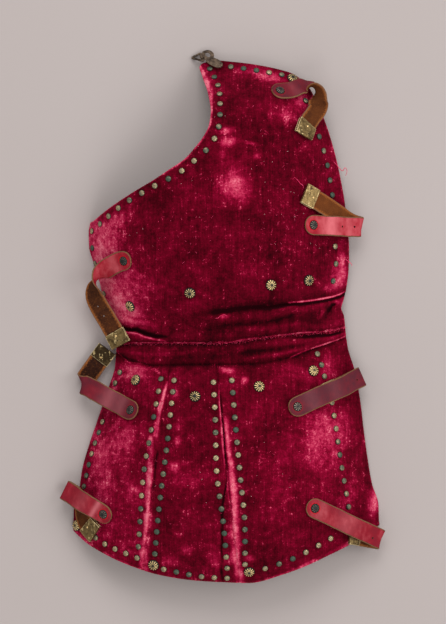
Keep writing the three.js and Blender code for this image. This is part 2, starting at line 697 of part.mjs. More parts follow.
// The strap's frames with its first end cut to a half round.
function roundedFrames(path) {
  const radius = STRAP.width / 2;
  const start = path[0];
  const chord = path[1].place.clone().sub(start.place).normalize();
  const round = [0.05, 0.2, 0.45, 0.75].map((part) => {
    const place = start.place.clone().addScaledVector(chord, part * radius);
    return { ...start, place, half: radius * Math.sqrt(1 - (1 - part) ** 2) };
  });
  const rest = path.filter(({ place }) => place.distanceTo(start.place) > 0.98 * radius);
  return [...round, ...rest.map((frame) => ({ ...frame, half: radius }))];
}

// The strap's frames over its last stretch, which the brass end covers.
function endFrames(path) {
  const left = [0];
  for (let i = path.length - 1; i > 0; i -= 1)
    left.unshift(left[0] + path[i].place.distanceTo(path[i - 1].place));
  const cut = left.findIndex((distance) => distance < TIP.length);
  const part = (left[cut - 1] - TIP.length) / (left[cut - 1] - left[cut]);
  const blend = (name) => path[cut - 1][name].clone().lerp(path[cut][name], part);
  const side = blend("side").normalize();
  const grain = blend("grain").normalize();
  return [{ place: blend("place"), side, grain }, ...path.slice(cut)];
}

// The brass end is one strip of sheet, folded over the end of the leather.
function strapTip(path) {
  const frames = endFrames(path);
  const end = frames[frames.length - 1];
  const lift = STRAP.thick / 2 + GAP + TIP.sheet / 2;
  const face = (sign) =>
    frames.map((frame) => ({
      side: frame.side,
      place: frame.place.clone().addScaledVector(frame.grain, sign * lift),
      grain: frame.grain.clone().multiplyScalar(sign),
    }));
  const bend = (sign) => ({
    side: end.side,
    place: end.place
      .clone()
      .addScaledVector(end.along, GAP + TIP.sheet / 2)
      .addScaledVector(end.grain, sign * 0.55 * lift),
    grain: end.grain.clone().multiplyScalar(sign).add(end.along).normalize(),
  });
  const strip = [...face(1), bend(1), bend(-1), ...face(-1).reverse()];
  return band(strip.map((frame) => section(frame, STRAP.width / 2 + GAP, TIP.sheet / 2)));
}

function strapRivet() {
  const { rivetRadius: radius, rivetHeight: height, rivetSides } = STRAP;
  const crown = [[0.6 * radius, 0.85 * height], [0, height]];
  return turned([[0, 0], [radius, 0], [radius, 0.3 * height], ...crown], rivetSides);
}

for (const [name, { stations, rivet }] of Object.entries(STRAPS)) {
  const path = strapPath(stations);
  const frames = roundedFrames(path);
  const leather = frames.map((frame) => section(frame, frame.half, STRAP.thick / 2));
  addMesh("strap_" + name, band(leather), "leather");
  addMesh("tip_" + name, strapTip(path), "brass");
  const { place, side, grain } = path.find((frame) => frame.place.distanceTo(path[0].place) >= rivet - 2);
  const head = addMesh("strap_rivet_" + name, strapRivet(), "brass");
  head.position.copy(place).addScaledVector(grain, STRAP.thick / 2 + HEAD_GAP);
  const along = side.clone().cross(grain);
  head.quaternion.setFromRotationMatrix(new THREE.Matrix4().makeBasis(along, side, grain));
}

// ---------------------------------------------------------------- shoulder clasp
// A forged plate that lies on the slope of the shoulder's tip. Its outer end has an eye, and is rolled
// round the bar of a three-cornered wire ring, which turns in it. The outline lies in the plate's own
// plane, from the middle of that bar: x leads to the garment, and y is the bar.
const CLASP_BAR = { x: -20.3, y: 278.4, z: 6.4, azimuth: 111 };
const CLASP_LIES_ON = { x: -2, y: 268 };
const CLASP_OUTLINE = [
  [1.2, -4.2], [2.2, -9.6], [4.6, -14.6], [7.4, -18.6], [11.1, -22], [15.2, -22.2], [17.6, -19.6],
  [17.2, -15.4], [14.6, -10.4], [11.4, -6.6], [12.8, -2.6], [12.1, 1.4], [9.4, 5.2], [5, 6.2], [1.2, 4.4],
];
const CLASP_EYE = { x: 6.3, y: -0.6, across: 2.5, along: 3.7, turn: 12 };
const RING_CORNERS = [[0, -6], [0, 6], [-11, 5.4]];
const RING_DROP = 16; // degrees that the ring hangs below the plate's plane

const barAzimuth = degrees(CLASP_BAR.azimuth);
const barPlace = new THREE.Vector3(CLASP_BAR.x, CLASP_BAR.y, CLASP_BAR.z);
const shoulderNormal = normalOf(formHeight, CLASP_LIES_ON.x, CLASP_LIES_ON.y);
const barDirection = new THREE.Vector3(Math.cos(barAzimuth), Math.sin(barAzimuth), 0);
barDirection.z = -barDirection.dot(shoulderNormal) / shoulderNormal.z;
barDirection.normalize();

// Places a mesh whose +Y is the bar and whose +X leads to the garment, turned about the bar.
function fromBar(mesh, turn) {
  const facing = shoulderNormal.clone().applyAxisAngle(barDirection, degrees(turn));
  const along = new THREE.Vector3().crossVectors(barDirection, facing);
  mesh.position.copy(barPlace);
  mesh.quaternion.setFromRotationMatrix(new THREE.Matrix4().makeBasis(along, barDirection, facing));
}

function claspPlate() {
  const outline = new THREE.Shape(CLASP_OUTLINE.map(([x, y]) => new THREE.Vector2(x, y)));
  const { x, y, across: wide, along: long, turn } = CLASP_EYE;
  outline.holes.push(new THREE.Path().absellipse(x, y, wide, long, 0, 2 * Math.PI, true, degrees(turn)));
  const flat = new THREE.ExtrudeGeometry(outline, {
    depth: CLASP.thick, bevelEnabled: false, curveSegments: 5,
  });
  flat.translate(0, 0, CLASP.barrel - CLASP.thick);
  const tube = new THREE.Shape().absarc(0, 0, CLASP.barrel, 0, 2 * Math.PI, false);
  tube.holes.push(new THREE.Path().absarc(0, 0, CLASP.bore, 0, 2 * Math.PI, true));
  const roll = new THREE.ExtrudeGeometry(tube, {
    depth: CLASP.barrelLength, bevelEnabled: false, curveSegments: 6,
  });
  roll.translate(0, 0, -CLASP.barrelLength / 2).rotateX(Math.PI / 2);
  return fromSolid(toSolid(flat).add(toSolid(roll)));
}

// A closed loop of wire through the corners of an outline, each corner rounded.
function wireRing(corners, radius, sides) {
  const middle = corners
    .reduce((sum, [x, y]) => sum.add(new THREE.Vector3(x, y, 0)), new THREE.Vector3())
    .divideScalar(corners.length);
  const points = corners.flatMap(([x, y], i) => {
    const corner = new THREE.Vector3(x, y, 0);
    return [corners.at(i - 1), corners[(i + 1) % corners.length]].map(([nx, ny]) =>
      corner.clone().lerp(new THREE.Vector3(nx, ny, 0), 1.3 / Math.hypot(nx - x, ny - y)),
    );
  });
  const sections = points.map((point) => {
    const out = point.clone().sub(middle).normalize();
    return Array.from({ length: sides }, (_, k) => {
      const angle = (2 * Math.PI * (k + 0.5)) / sides;
      return point.clone().addScaledVector(out, radius * Math.cos(angle)).setZ(radius * Math.sin(angle));
    });
  });
  const triangles = [];
  const at = (i, k) => (i % sections.length) * sides + (k % sides);
  for (let i = 0; i < sections.length; i += 1)
    for (let k = 0; k < sides; k += 1)
      triangles.push(at(i, k), at(i + 1, k), at(i + 1, k + 1), at(i, k), at(i + 1, k + 1), at(i, k + 1));
  return geometryOf(sections.flat(), triangles);
}

fromBar(addMesh("clasp_plate", claspPlate(), "iron"), 0);
fromBar(addMesh("clasp_ring", wireRing(RING_CORNERS, CLASP.wire, 8), "iron"), -RING_DROP);

brigandine.position.set(-MIDDLE.x, -MIDDLE.y, 0);
export default brigandine;
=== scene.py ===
# %% [markdown]
# # One half of a brigandine
# A brigandine is body armour made by a tailor and an armourer together: steel plates are riveted inside a
# garment of velvet, so that the rivet heads show in rows on the cloth. This half covers one side of the
# chest, the waist and the skirt. It lies hollow side down, and its straps lie as they fell.
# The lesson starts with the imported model, which fixes the size and place of every piece.

import math

import bpy
import mathutils
import numpy as np
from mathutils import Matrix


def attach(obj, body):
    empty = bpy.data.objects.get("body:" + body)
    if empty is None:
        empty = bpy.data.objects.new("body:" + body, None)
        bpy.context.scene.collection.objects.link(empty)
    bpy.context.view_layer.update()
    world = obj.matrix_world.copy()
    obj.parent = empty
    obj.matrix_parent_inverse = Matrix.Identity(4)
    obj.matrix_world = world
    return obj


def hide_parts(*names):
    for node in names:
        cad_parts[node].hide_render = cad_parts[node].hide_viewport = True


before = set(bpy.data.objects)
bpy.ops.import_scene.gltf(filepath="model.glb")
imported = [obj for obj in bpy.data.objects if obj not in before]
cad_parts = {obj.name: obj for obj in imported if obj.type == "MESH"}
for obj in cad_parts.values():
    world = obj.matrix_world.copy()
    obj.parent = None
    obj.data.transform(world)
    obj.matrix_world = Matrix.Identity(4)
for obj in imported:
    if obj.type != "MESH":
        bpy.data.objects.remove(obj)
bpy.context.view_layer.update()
MM = 0.001
BODY = "garment"
random = np.random.default_rng(1540)

# %% [markdown]
# ## Camera, floor and light
# The camera comes first, because everything else is judged through it. It looks straight down from far
# away with a long lens, as a museum's copy stand does, so the garment's outline is hardly distorted.
# A tent of four large soft lights leaves only a faint shadow all round.

# %% Camera
VIEW_CENTRE = (1.1 * MM, 4.5 * MM)
VIEW_HEIGHT = 667.7 * MM
VIEW_PLANE = 25 * MM  # the level that the framing is true at
CAMERA_HEIGHT = 6.0
FILM = 36.0

camera_data = bpy.data.cameras.new("camera")
camera_data.sensor_width = FILM
camera_data.lens = FILM * (CAMERA_HEIGHT - VIEW_PLANE) / VIEW_HEIGHT
camera = bpy.data.objects.new("camera", camera_data)
camera.location = (*VIEW_CENTRE, CAMERA_HEIGHT)
bpy.context.scene.collection.objects.link(camera)
bpy.context.scene.camera = camera
bpy.context.scene.view_settings.view_transform = "Standard"
print("lens", round(camera_data.lens, 1), "mm")

# %% [markdown]
# Each lamp is a row of a table, so the balance of the four is easy to change. Lamps that are large and far
# away give soft shadows, and the pale light of the world fills them.

# %% Lights
# Columns: name, place in metres, size in metres, power in watts.
LIGHTS = [
    ("light_top", (-0.1, 2.7, 2.5), 2.2, 58),
    ("light_bottom", (0.6, -2.6, 2.4), 2.2, 34),
    ("light_left", (-2.7, 0.3, 2.4), 2.0, 8),
    ("light_right", (2.7, 0.4, 2.4), 2.0, 43),
]
WORLD_COLOUR = (1.0, 0.985, 0.97, 1)
WORLD_STRENGTH = 0.53


def aim(thing, target):
    """Turns a light so that it shines at a point."""
    direction = np.array(target) - np.array(thing.location)
    tilt = math.atan2(math.hypot(direction[0], direction[1]), -direction[2])
    thing.rotation_euler = (tilt, 0, math.atan2(direction[1], direction[0]) - math.pi / 2)


for name, place, size, power in LIGHTS:
    light_data = bpy.data.lights.new(name, "AREA")
    light_data.size = size
    light_data.energy = power
    light = bpy.data.objects.new(name, light_data)
    light.location = place
    bpy.context.scene.collection.objects.link(light)
    aim(light, (0, 0, 0))

world = bpy.data.worlds.new("studio")
world.use_nodes = True
sky = world.node_tree.nodes["Background"].inputs
sky["Color"].default_value = WORLD_COLOUR
sky["Strength"].default_value = WORLD_STRENGTH
bpy.context.scene.world = world
print("lamps:", len(LIGHTS), "with", sum(power for *_, power in LIGHTS), "W in all")

# %% [markdown]
# ## Writing materials as sums
# A material is a small calculation that is done for every point of a surface. It could be drawn by hand as
# a tree of nodes, but a long tree is hard to read. So `Number` wraps a socket: whoever writes an ordinary
# sum with it adds the nodes of that sum.

# %% Sums
class Number:
    """A socket of a material, which can be used in sums with numbers and other sockets."""

    def __init__(self, finish, socket):
        self.finish = finish
        self.socket = socket

    def _sum(self, operation, first, second):
        return self.finish.node("Math", {"operation": operation}, {0: first, 1: second})

    def __add__(self, other):
        return self._sum("ADD", self, other)

    def __radd__(self, other):
        return self._sum("ADD", other, self)

    def __sub__(self, other):
        return self._sum("SUBTRACT", self, other)

    def __rsub__(self, other):
        return self._sum("SUBTRACT", other, self)

    def __mul__(self, other):
        return self._sum("MULTIPLY", self, other)

    def __rmul__(self, other):
        return self._sum("MULTIPLY", other, self)


# %% [markdown]
# `Finish` holds the tree of one material. Its method `node` adds any type of node, and the short methods
# after it are the few that nearly every material here needs. Colours go through `mix`, because sums would
# turn them grey.

# %% Finishes
MIX_SHARE, MIX_FIRST, MIX_SECOND, MIX_RESULT = 0, 6, 7, 2  # a Mix node's sockets when it mixes colours


class Finish:
    """A material under construction. Its tree starts with one Principled shader."""

    def __init__(self, name, roughness=0.5, metallic=0.0, **steady):
        self.material = bpy.data.materials.new(name)
        self.material.use_nodes = True
        self.tree = self.material.node_tree
        self.shader = self.tree.nodes["Principled BSDF"]
        for socket, value in {"Roughness": roughness, "Metallic": metallic}.items():
            self.shader.inputs[socket].default_value = value
        for socket, value in steady.items():
            self.shader.inputs[socket.replace("_", " ")].default_value = value

    def plug(self, socket, value):
        """Sets a socket to a value, or links it to another socket."""
        if isinstance(value, Number):
            self.tree.links.new(value.socket, socket)
        elif socket.type == "RGBA" and len(value) == 3:
            socket.default_value = (*value, 1)
        else:
            socket.default_value = value

    def node(self, kind, settings=(), sockets=(), output=0):
        """Adds a node of a type, with its settings first and then its sockets' values or links."""
        added = self.tree.nodes.new("ShaderNode" + kind)
        for key, value in dict(settings).items():
            if key == "stops":
                while len(added.color_ramp.elements) < len(value):
                    added.color_ramp.elements.new(1)
                for element, (place, colour) in zip(added.color_ramp.elements, value):
                    element.position = place
                    element.color = (*colour, 1)
            else:
                setattr(added, key, value)
        for key, value in dict(sockets).items():
            self.plug(added.inputs[key], value)
        return Number(self, added.outputs[output])

    def attribute(self, name):
        """A named number that the mesh carries on its points."""
        return self.node("Attribute", {"attribute_name": name}, output="Fac")

    def noise(self, per_metre, detail=3.0, roughness=0.55, stretch=(1, 1, 1), shift=0.0):
        """Noise from 0 to 1, with a scale in waves for each metre."""
        place = self.node("TexCoord", output="Object")
        scale = [per_metre * share for share in stretch]
        values = {"Vector": place, "Location": (shift, shift, shift), "Scale": scale}
        placed = self.node("Mapping", {}, values)
        values = {"Vector": placed, "Scale": 1.0, "Detail": detail, "Roughness": roughness}
        return self.node("TexNoise", {}, values, output="Fac")

    def step(self, value, low, high):
        """Rises smoothly from 0 to 1 while the value goes from low to high."""
        values = {"Value": value, "From Min": low, "From Max": high}
        return self.node("MapRange", {"interpolation_type": "SMOOTHSTEP"}, values)

    def mix(self, share, first, second):
        """The first colour where the share is 0, and the second where it is 1."""
        sockets = {MIX_SHARE: share, MIX_FIRST: first, MIX_SECOND: second}
        return self.node("Mix", {"data_type": "RGBA"}, sockets, output=MIX_RESULT)

    def colour(self, value):
        self.plug(self.shader.inputs["Base Color"], value)

    def roughness(self, value):
        self.plug(self.shader.inputs["Roughness"], value)

    def metallic(self, value):
        self.plug(self.shader.inputs["Metallic"], value)

    def bump(self, height, depth, strength=1.0):
        values = {"Height": height, "Distance": depth, "Strength": strength}
        self.plug(self.shader.inputs["Normal"], self.node("Bump", {}, values, output="Normal"))


def srgb(*screen):
    """A colour as it is read off a screen, 0 to 255, as the light that a shader needs."""
    return tuple(((v / 255 + 0.055) / 1.055) ** 2.4 if v > 10 else v / 255 / 12.92 for v in screen)


# %% [markdown]
# The floor is plain pale card. A faint uneven tone keeps it from looking like a computer's grey.

# %% Floor
FLOOR_SIZE = 14.0
FLOOR_LEVEL = -0.05 * MM

floor_finish = Finish("floor_card", roughness=0.9)
floor_tone = floor_finish.noise(1.6, detail=2)
floor_finish.colour(floor_finish.mix(floor_tone, srgb(182, 172, 170), srgb(174, 164, 161)))
floor_finish.bump(floor_finish.noise(900, detail=2), 0.05 * MM, 0.3)
bpy.ops.mesh.primitive_plane_add(size=FLOOR_SIZE, location=(0, 0, FLOOR_LEVEL))
floor = bpy.context.object
floor.name = "floor"
floor.data.materials.append(floor_finish.material)
print("floor:", FLOOR_SIZE, "m wide")

# %% [markdown]
# ## The torso's form
# An armourer shapes the plates over a stake, and the velvet simply follows them. Here the form is one
# height for each point of the plan. Three lines run from hem to shoulder: the side edge, the ridge and the
# front edge. A section across them is two arcs of a circle that are level at the ridge. Because the packed
# solids use the same lines, every piece made from this form lies where its solid lies.

# %% Lines from hem to shoulder
def table(rows):
    """Rows written in millimetres, as an array in metres."""
    return np.array(rows, float) * MM


PATTERN_MIDDLE = table([1, 0.3, 0])  # where the frame's origin lies in the pattern

# Columns: y, x, z.
SIDE_LINE = table([
    [-292.5, -174.5, 0], [-260.5, -167, 0], [-239, -160, 0], [-219, -159.5, 0], [-204, -159, 0],
    [-182.5, -153, 0], [-163, -150, 0], [-138.5, -143, 0], [-112, -134, 0], [-75.5, -121.5, 3],
    [-53, -114.5, 6], [-36, -113, 8], [-23, -110.5, 8], [-13.5, -110.5, 8], [-1.5, -113.5, 5],
    [11, -121, 2], [22, -127.5, 0], [36, -131, 0], [58.5, -138, 0], [75, -142.5, 0], [90.5, -143, 0],
    [100.5, -141.5, 0], [119.5, -141, 0], [146, -138, -4], [189, -130.5, -10], [231.5, -119, -18],
    [274.5, -108, -26],
])
RIDGE_LINE = table([
    [-292.5, 4.5, 36], [-260.5, 1, 56], [-228.5, -3, 68], [-196.5, -7.5, 75], [-164, -9.5, 77],
    [-132, -9.5, 75], [-100, -7.5, 70], [-68, -3, 62], [-48.5, 1, 56], [-28.5, 3, 53], [-9, 1, 56],
    [12.5, -7.5, 65], [36, -16, 71], [71, -22.5, 74], [103.5, -22.5, 75], [135.5, -18, 74], [162, -12, 73],
    [189, -3, 69.5], [212.5, 7.5, 62], [231.5, 16, 50], [247.5, 20.5, 35], [264, 22.5, 18.5],
    [275, 23.5, 9.5], [283, 24.5, 3],
])
FRONT_LINE = table([
    [-292.5, 187, 0], [-260.5, 178.5, 0], [-234, 173.5, 0], [-217.5, 170.5, 0], [-201.5, 170, 0],
    [-179, 163, 1], [-147, 157.5, 3], [-121.5, 154, 4], [-92.5, 150.5, 5], [-59.5, 144.5, 7],
    [-32.5, 136.5, 9], [-18.5, 134.5, 10], [0.5, 132.5, 9], [9, 129.5, 9], [16, 131.5, 9],
    [27.5, 134.5, 9], [50, 137.5, 10], [71, 138, 11], [115, 134, 12], [146, 129, 12], [178, 121.5, 14],
    [218.5, 108, 17], [231.5, 101.5, 16], [242.5, 96.5, 13], [252.5, 89, 8], [264, 82.5, 2], [280, 76, -6],
])
print("rows:", len(SIDE_LINE), "at the side,", len(RIDGE_LINE), "on the ridge,", len(FRONT_LINE), "in front")

# %% [markdown]
# The cloth is cut by more lines: the armhole, the two long seams of the skirt, and those that run across the
# garment from its side to its front edge.

# %% Lines of the pattern
# Columns: y, x.
ARMHOLE = table([
    [100.5, -140], [114.5, -122], [130.5, -97.5], [146, -71], [155.5, -56.5], [168.5, -37.5],
    [180.5, -27], [190, -19.5], [204, -12.5], [219, -10.5], [238.5, -13.5], [254, -18.5], [268.5, -23.5],
])
SEAM_SIDE = table([
    [-272.5, -83], [-257.5, -82.5], [-228.5, -78], [-200.5, -75.5], [-181.5, -74.5], [-151.5, -71.5],
    [-125.5, -69.5], [-99, -65.5], [-78.5, -59], [-53, -54.5],
])
SEAM_FRONT = table([
    [-284, 19.5], [-256.5, 16], [-235, 13], [-208, 10.5], [-186.5, 8], [-154, 5.5], [-131, 2],
    [-104, 1], [-82.5, -1.5], [-53, -4.5],
])
# Columns: x, y.
HEM = table([
    [-156, -229.5], [-141.5, -243], [-126.5, -252], [-96, -266.5], [-65.5, -276.5], [-22.5, -283],
    [27, -285], [63, -275.5], [99.5, -260], [134.5, -242], [162.5, -223.5],
])
BAND_LINE = table([
    [-113, -39], [-97.5, -48], [-76, -52.5], [-33, -51.5], [41.5, -50.5], [79, -42.5], [97.5, -35.5],
    [116.5, -29.5], [135, -22],
])
WAIST_SEAM = table([
    [-111.5, -30], [-82, -29], [-18, -29], [13.5, -28], [41.5, -23.5], [70.5, -20], [111.5, -17],
    [134, -12],
])
WAIST_TOP = table([[-129.5, 30], [-40, 26], [40, 28], [135.5, 34]])
UNDERARM = table([[-140, 100.5], [0, 103], [134, 108]])
SHOULDER = table([
    [-23.5, 268.5], [-19.5, 272.5], [-5.5, 275.5], [10.5, 274], [44, 269.5], [76, 261.5], [89, 252.5],
])
print("hem:", round(HEM[-1, 0] - HEM[0, 0], 3), "m wide")

# %% [markdown]
# A table has few rows, so that a person can read and change it. The curve through them has to be smooth and
# must not swing past a row, or the outline gets bumps. Slopes that are harmonic means of the two chords next
# to a row do both, which a plain spline doesn't.

# %% Curves through a table
def through(rows, value=1):
    """A smooth curve through a table's rows. Its slopes are harmonic means, so it never overshoots."""
    given, found = rows[:, 0], rows[:, value]
    chord = np.diff(found) / np.diff(given)
    product = chord[:-1] * chord[1:]
    rising = product > 0
    inner = np.where(rising, 2 * product / np.where(rising, chord[:-1] + chord[1:], 1), 0)
    slope = np.concatenate([chord[:1], inner, chord[-1:]])

    def curve(q):
        q = np.clip(q, given[0], given[-1])
        i = np.clip(np.searchsorted(given, q, side="right") - 1, 0, len(given) - 2)
        span = given[i + 1] - given[i]
        t = (q - given[i]) / span
        back = 1 - t
        ends = back**2 * (1 + 2 * t) * found[i] + t**2 * (3 - 2 * t) * found[i + 1]
        return ends + t * back * span * (back * slope[i] - t * slope[i + 1])

    return curve


side_x, side_z = through(SIDE_LINE), through(SIDE_LINE, 2)
ridge_x, ridge_z = through(RIDGE_LINE), through(RIDGE_LINE, 2)
front_x, front_z = through(FRONT_LINE), through(FRONT_LINE, 2)
armhole_x = through(ARMHOLE)
hem_y, shoulder_y = through(HEM), through(SHOULDER)


def left_x(y):
    """The left outline: the armhole above its lower end, and the side edge under that."""
    return np.where(y > ARMHOLE[0, 0], armhole_x(y), side_x(y))


print("width at the hem's corners:", round(float(front_x(HEM[0, 1]) - left_x(HEM[0, 1])), 3), "m")

# %% [markdown]
# A section of the form is one arc from the ridge down to each edge. Its radius follows from how far the edge
# is and how deep it lies, so the tables need no widths or radii of their own.

# %% Height of the form
ARC_END = 0.97  # the share of its radius that an arc is followed to, past the garment's edge


def arc_drop(distance, reach, fall):
    """How far an arc that is level at the ridge has dropped, if it drops "fall" over "reach"."""
    radius = (reach**2 + fall**2) / (2 * fall)
    distance = np.clip(distance, -ARC_END * radius, ARC_END * radius)
    return radius - np.sqrt(radius**2 - distance**2)


def form_height(x, y):
    """Height of the bare form over a point of the plan."""
    top, middle = ridge_z(y), ridge_x(y)
    side = top - arc_drop(middle - x, middle - side_x(y), top - side_z(y))
    front = top - arc_drop(x - middle, front_x(y) - middle, top - front_z(y))
    return np.where(x < middle, side, front)


print("height of the form at the breast:", round(float(form_height(0.0, 0.1)), 4), "m")

# %% [markdown]
# ## Folds
# Plates stop at the waist so that the wearer can bend, and there the velvet hangs in soft folds. Each fold
# is a path with a height, a width and a way to fade out. The first table is the one that the solids were
# made with, and the second adds creases that are too fine for a solid.

# %% Fold tables
# Columns: rise and width in millimetres, where it fades, and the path as x, y.
FOLD_ROWS = [
    (-3.6, 4.5, "end", [[-112, -12], [-90, -14], [-71, -21], [-50, -22.5]]),
    (3.0, 6, "end", [[-112, -4], [-88, -6], [-68, -12], [-46, -14]]),
    (-4.4, 5, "end", [[134, 28], [106, 21], [76, 14.5], [18, 8], [-50, 0]]),
    (3.4, 6.5, "end", [[134, 17], [106, 11], [76, 4], [18, -2], [-40, -8]]),
    (-2.4, 3, "both", [[125, 14], [114, 8], [112, -2]]),
    (2.2, 5, "both", [[-60, 10], [-20, 2], [20, -10]]),
    (-2.6, 3.2, "none", WAIST_SEAM / MM),
    (1.8, 4.5, "none", WAIST_SEAM / MM + [0, 7]),
    (2.2, 5, "none", WAIST_SEAM / MM - [0, 7]),
    (-2.4, 3.4, "none", BAND_LINE / MM),
    (-1.6, 4, "end", [[-76, -52.5], [-67, -59.5], [-60, -72]]),
    (1.3, 3.6, "both", SEAM_SIDE[:, ::-1] / MM - [2, 0]),
    (1.3, 3.6, "both", SEAM_FRONT[:, ::-1] / MM + [3, 0]),
]
CREASE_ROWS = [
    (-2.6, 1.5, "end", [[-107, -13], [-98.5, -14.5], [-90, -14], [-82, -18], [-71, -21], [-61, -21.5],
                        [-52, -22.5]]),
    (0.9, 1.8, "end", [[-104, -17], [-92, -18], [-82, -22], [-70, -25], [-56, -25.5]]),
    (-2.6, 1.5, "end", [[133, 24], [127, 21.2], [119, 18.6], [102, 15.4], [85, 13.2], [70, 12.4], [50, 9],
                        [31, 10], [7, 5]]),
    (1.0, 1.8, "end", [[130, 23], [107, 17], [83, 13.5], [65, 8], [46, 6]]),
    (-0.8, 2.2, "both", [[36, 10], [18.5, 8.8], [3, 5.5], [-50, 0]]),
    (-2.0, 1.3, "both", [[124, 13.5], [119, 12.5], [115.5, 7], [113.5, 3.5]]),
    (-1.8, 1.4, "both", [[134, -15.5], [117, -20], [92, -21.5], [70, -23]]),
    (0.8, 1.6, "both", [[112, 9], [108, 3], [104, -4]]),
    (-0.6, 2.0, "both", [[88, 6], [60, -4], [30, -8], [-10, -9]]),
    (0.5, 2.4, "both", [[100, -6], [70, -9], [35, -13], [-5, -15]]),
    (-0.6, 1.8, "both", [[-108, 2], [-94, -2], [-76, -3], [-62, -8]]),
    (-0.5, 1.2, "end", [[-112, -38], [-100, -45], [-88, -48.5], [-76, -52.5], [-67, -59.5]]),
    (0.6, 2.2, "both", [[-105, -38], [-80, -41], [-50, -40], [-20, -39]]),
    (-0.5, 1.8, "both", [[10, -40], [40, -37], [74, -33], [104, -27]]),
    (0.6, 2.0, "both", [[20, -45], [52, -42], [84, -36], [110, -28]]),
    (0.9, 1.1, "both", [[-57.5, -72], [-60.5, -80], [-63, -93], [-67, -112], [-69.5, -130], [-71.5, -160]]),
    (-0.9, 0.9, "both", [[-67, -140], [-69, -152], [-71, -175], [-73, -190]]),
    (0.8, 1.0, "both", [[-71.5, -140], [-74, -170], [-76, -186], [-75.5, -200]]),
    (-1.3, 1.0, "end", [[0.5, -286], [1.5, -200], [6, -175], [4.5, -150], [2.5, -120], [-0.5, -92],
                        [-2, -72]]),
    (0.8, 1.0, "both", [[-2.5, -75], [-1.5, -96], [0.5, -118], [2, -140], [5, -170], [8, -200]]),
]


def as_fold(rise, width, fades, path):
    """A row of the tables in metres."""
    return rise * MM, width * MM, fades, np.array(path, float) * MM


FOLDS = [as_fold(*row) for row in FOLD_ROWS]
CREASES = [as_fold(*row) for row in CREASE_ROWS]
print("folds:", len(FOLDS), "and fine creases:", len(CREASES))

# %% [markdown]
# Folds could be sculpted, but then nobody could change one later. Here a fold's height falls off like a bell
# on both sides of its path, so all it needs is each point's distance from that path. Numpy works that out
# for a whole grid of points at once.

# %% Height of the cloth
FADE_IN, FADE_OUT = 0.2, 0.35  # shares of a path over which a fold comes up and dies away
FOLD_REACH = 3  # widths from the path that a fold is felt
FOLD_RIM = 12 * MM  # height over the floor under which folds flatten out


def smoothstep(value, low, high):
    """0 up to low, 1 from high on, and a soft rise between them."""
    t = np.clip((value - low) / (high - low), 0, 1)
    return t * t * (3 - 2 * t)


def nearest(path, x, y):
    """Distance to a path, and how far along it the nearest point is, from 0 to 1."""
    best = np.full(np.shape(x), np.inf)
    along = np.zeros(np.shape(x))
    for i in range(len(path) - 1):
        (ax, ay), (dx, dy) = path[i], path[i + 1] - path[i]
        t = np.clip(((x - ax) * dx + (y - ay) * dy) / (dx * dx + dy * dy), 0, 1)
        far = np.hypot(x - ax - t * dx, y - ay - t * dy)
        along = np.where(far < best, (i + t) / (len(path) - 1), along)
        best = np.minimum(far, best)
    return best, along


def fold_height(folds, x, y):
    """All the folds of a table added together."""
    total = np.zeros(np.shape(x))
    for rise, width, fades, path in folds:
        far, along = nearest(path, x, y)
        starts = smoothstep(along, 0, FADE_IN) if fades == "both" else 1
        ends = 1 if fades == "none" else smoothstep(1 - along, 0, FADE_OUT)
        total += np.where(far < FOLD_REACH * width, rise * np.exp(-((far / width) ** 2)) * starts * ends, 0)
    return total


def cloth_height(x, y):
    """The face of the solids' cloth. Folds flatten out at the rim, where it lies on the floor."""
    plain = form_height(x, y)
    return plain + fold_height(FOLDS, x, y) * smoothstep(plain, 0, FOLD_RIM)


print("a fold at the waist lies", round(float(cloth_height(0.05, 0.005)) / MM, 1), "mm over the floor")

# %% [markdown]
# ## Where the rivets sit
# The rivets are evenly spaced along the cloth, not along the flat plan, because the armourer marked them
# out with dividers on the garment itself. Their places come early, as each one also dents the velvet.

# %% Smooth curves through points
PATH_SAMPLES = 121


def catmull(points, t, power=0.25):
    """A point of a curve through others, "t" in stations. Power 0.25 is centripetal, and 0 is uniform."""
    points = np.asarray(points, float)
    i = min(int(t), len(points) - 2)
    w = t - i
    p1, p2 = points[i], points[i + 1]
    p0 = points[i - 1] if i > 0 else 2 * p1 - p2
    p3 = points[i + 2] if i + 2 < len(points) else 2 * p2 - p1
    if power:
        d0, d1, d2 = (max(((b - a) @ (b - a)) ** power, 1e-9) for a, b in ((p0, p1), (p1, p2), (p2, p3)))
        m1 = ((p1 - p0) / d0 - (p2 - p0) / (d0 + d1) + (p2 - p1) / d1) * d1
        m2 = ((p2 - p1) / d1 - (p3 - p1) / (d1 + d2) + (p3 - p2) / d2) * d1
    else:
        m1, m2 = (p2 - p0) / 2, (p3 - p1) / 2
    c2 = -3 * p1 + 3 * p2 - 2 * m1 - m2
    c3 = 2 * p1 - 2 * p2 + m1 + m2
    return p1 + m1 * w + c2 * w**2 + c3 * w**3


def even_spots(path, count):
    """Points spaced evenly along the cloth, over a path of the plan."""
    if count == 1:
        return [path[0]]
    plan = np.array([catmull(path, t) for t in np.linspace(0, len(path) - 1, PATH_SAMPLES)])
    solid = np.column_stack([plan, cloth_height(plan[:, 0], plan[:, 1])])
    run = np.concatenate([[0], np.cumsum(np.linalg.norm(np.diff(solid, axis=0), axis=1))])
    wanted = np.linspace(0, run[-1], count)
    return [np.array([np.interp(w, run, plan[:, 0]), np.interp(w, run, plan[:, 1])]) for w in wanted]


# %% [markdown]
# Small rivets run in rows along every edge and seam, so a row of the table is a path and a count. Twelve
# rosettes, twice as wide, sit alone between the rows and are placed one by one.

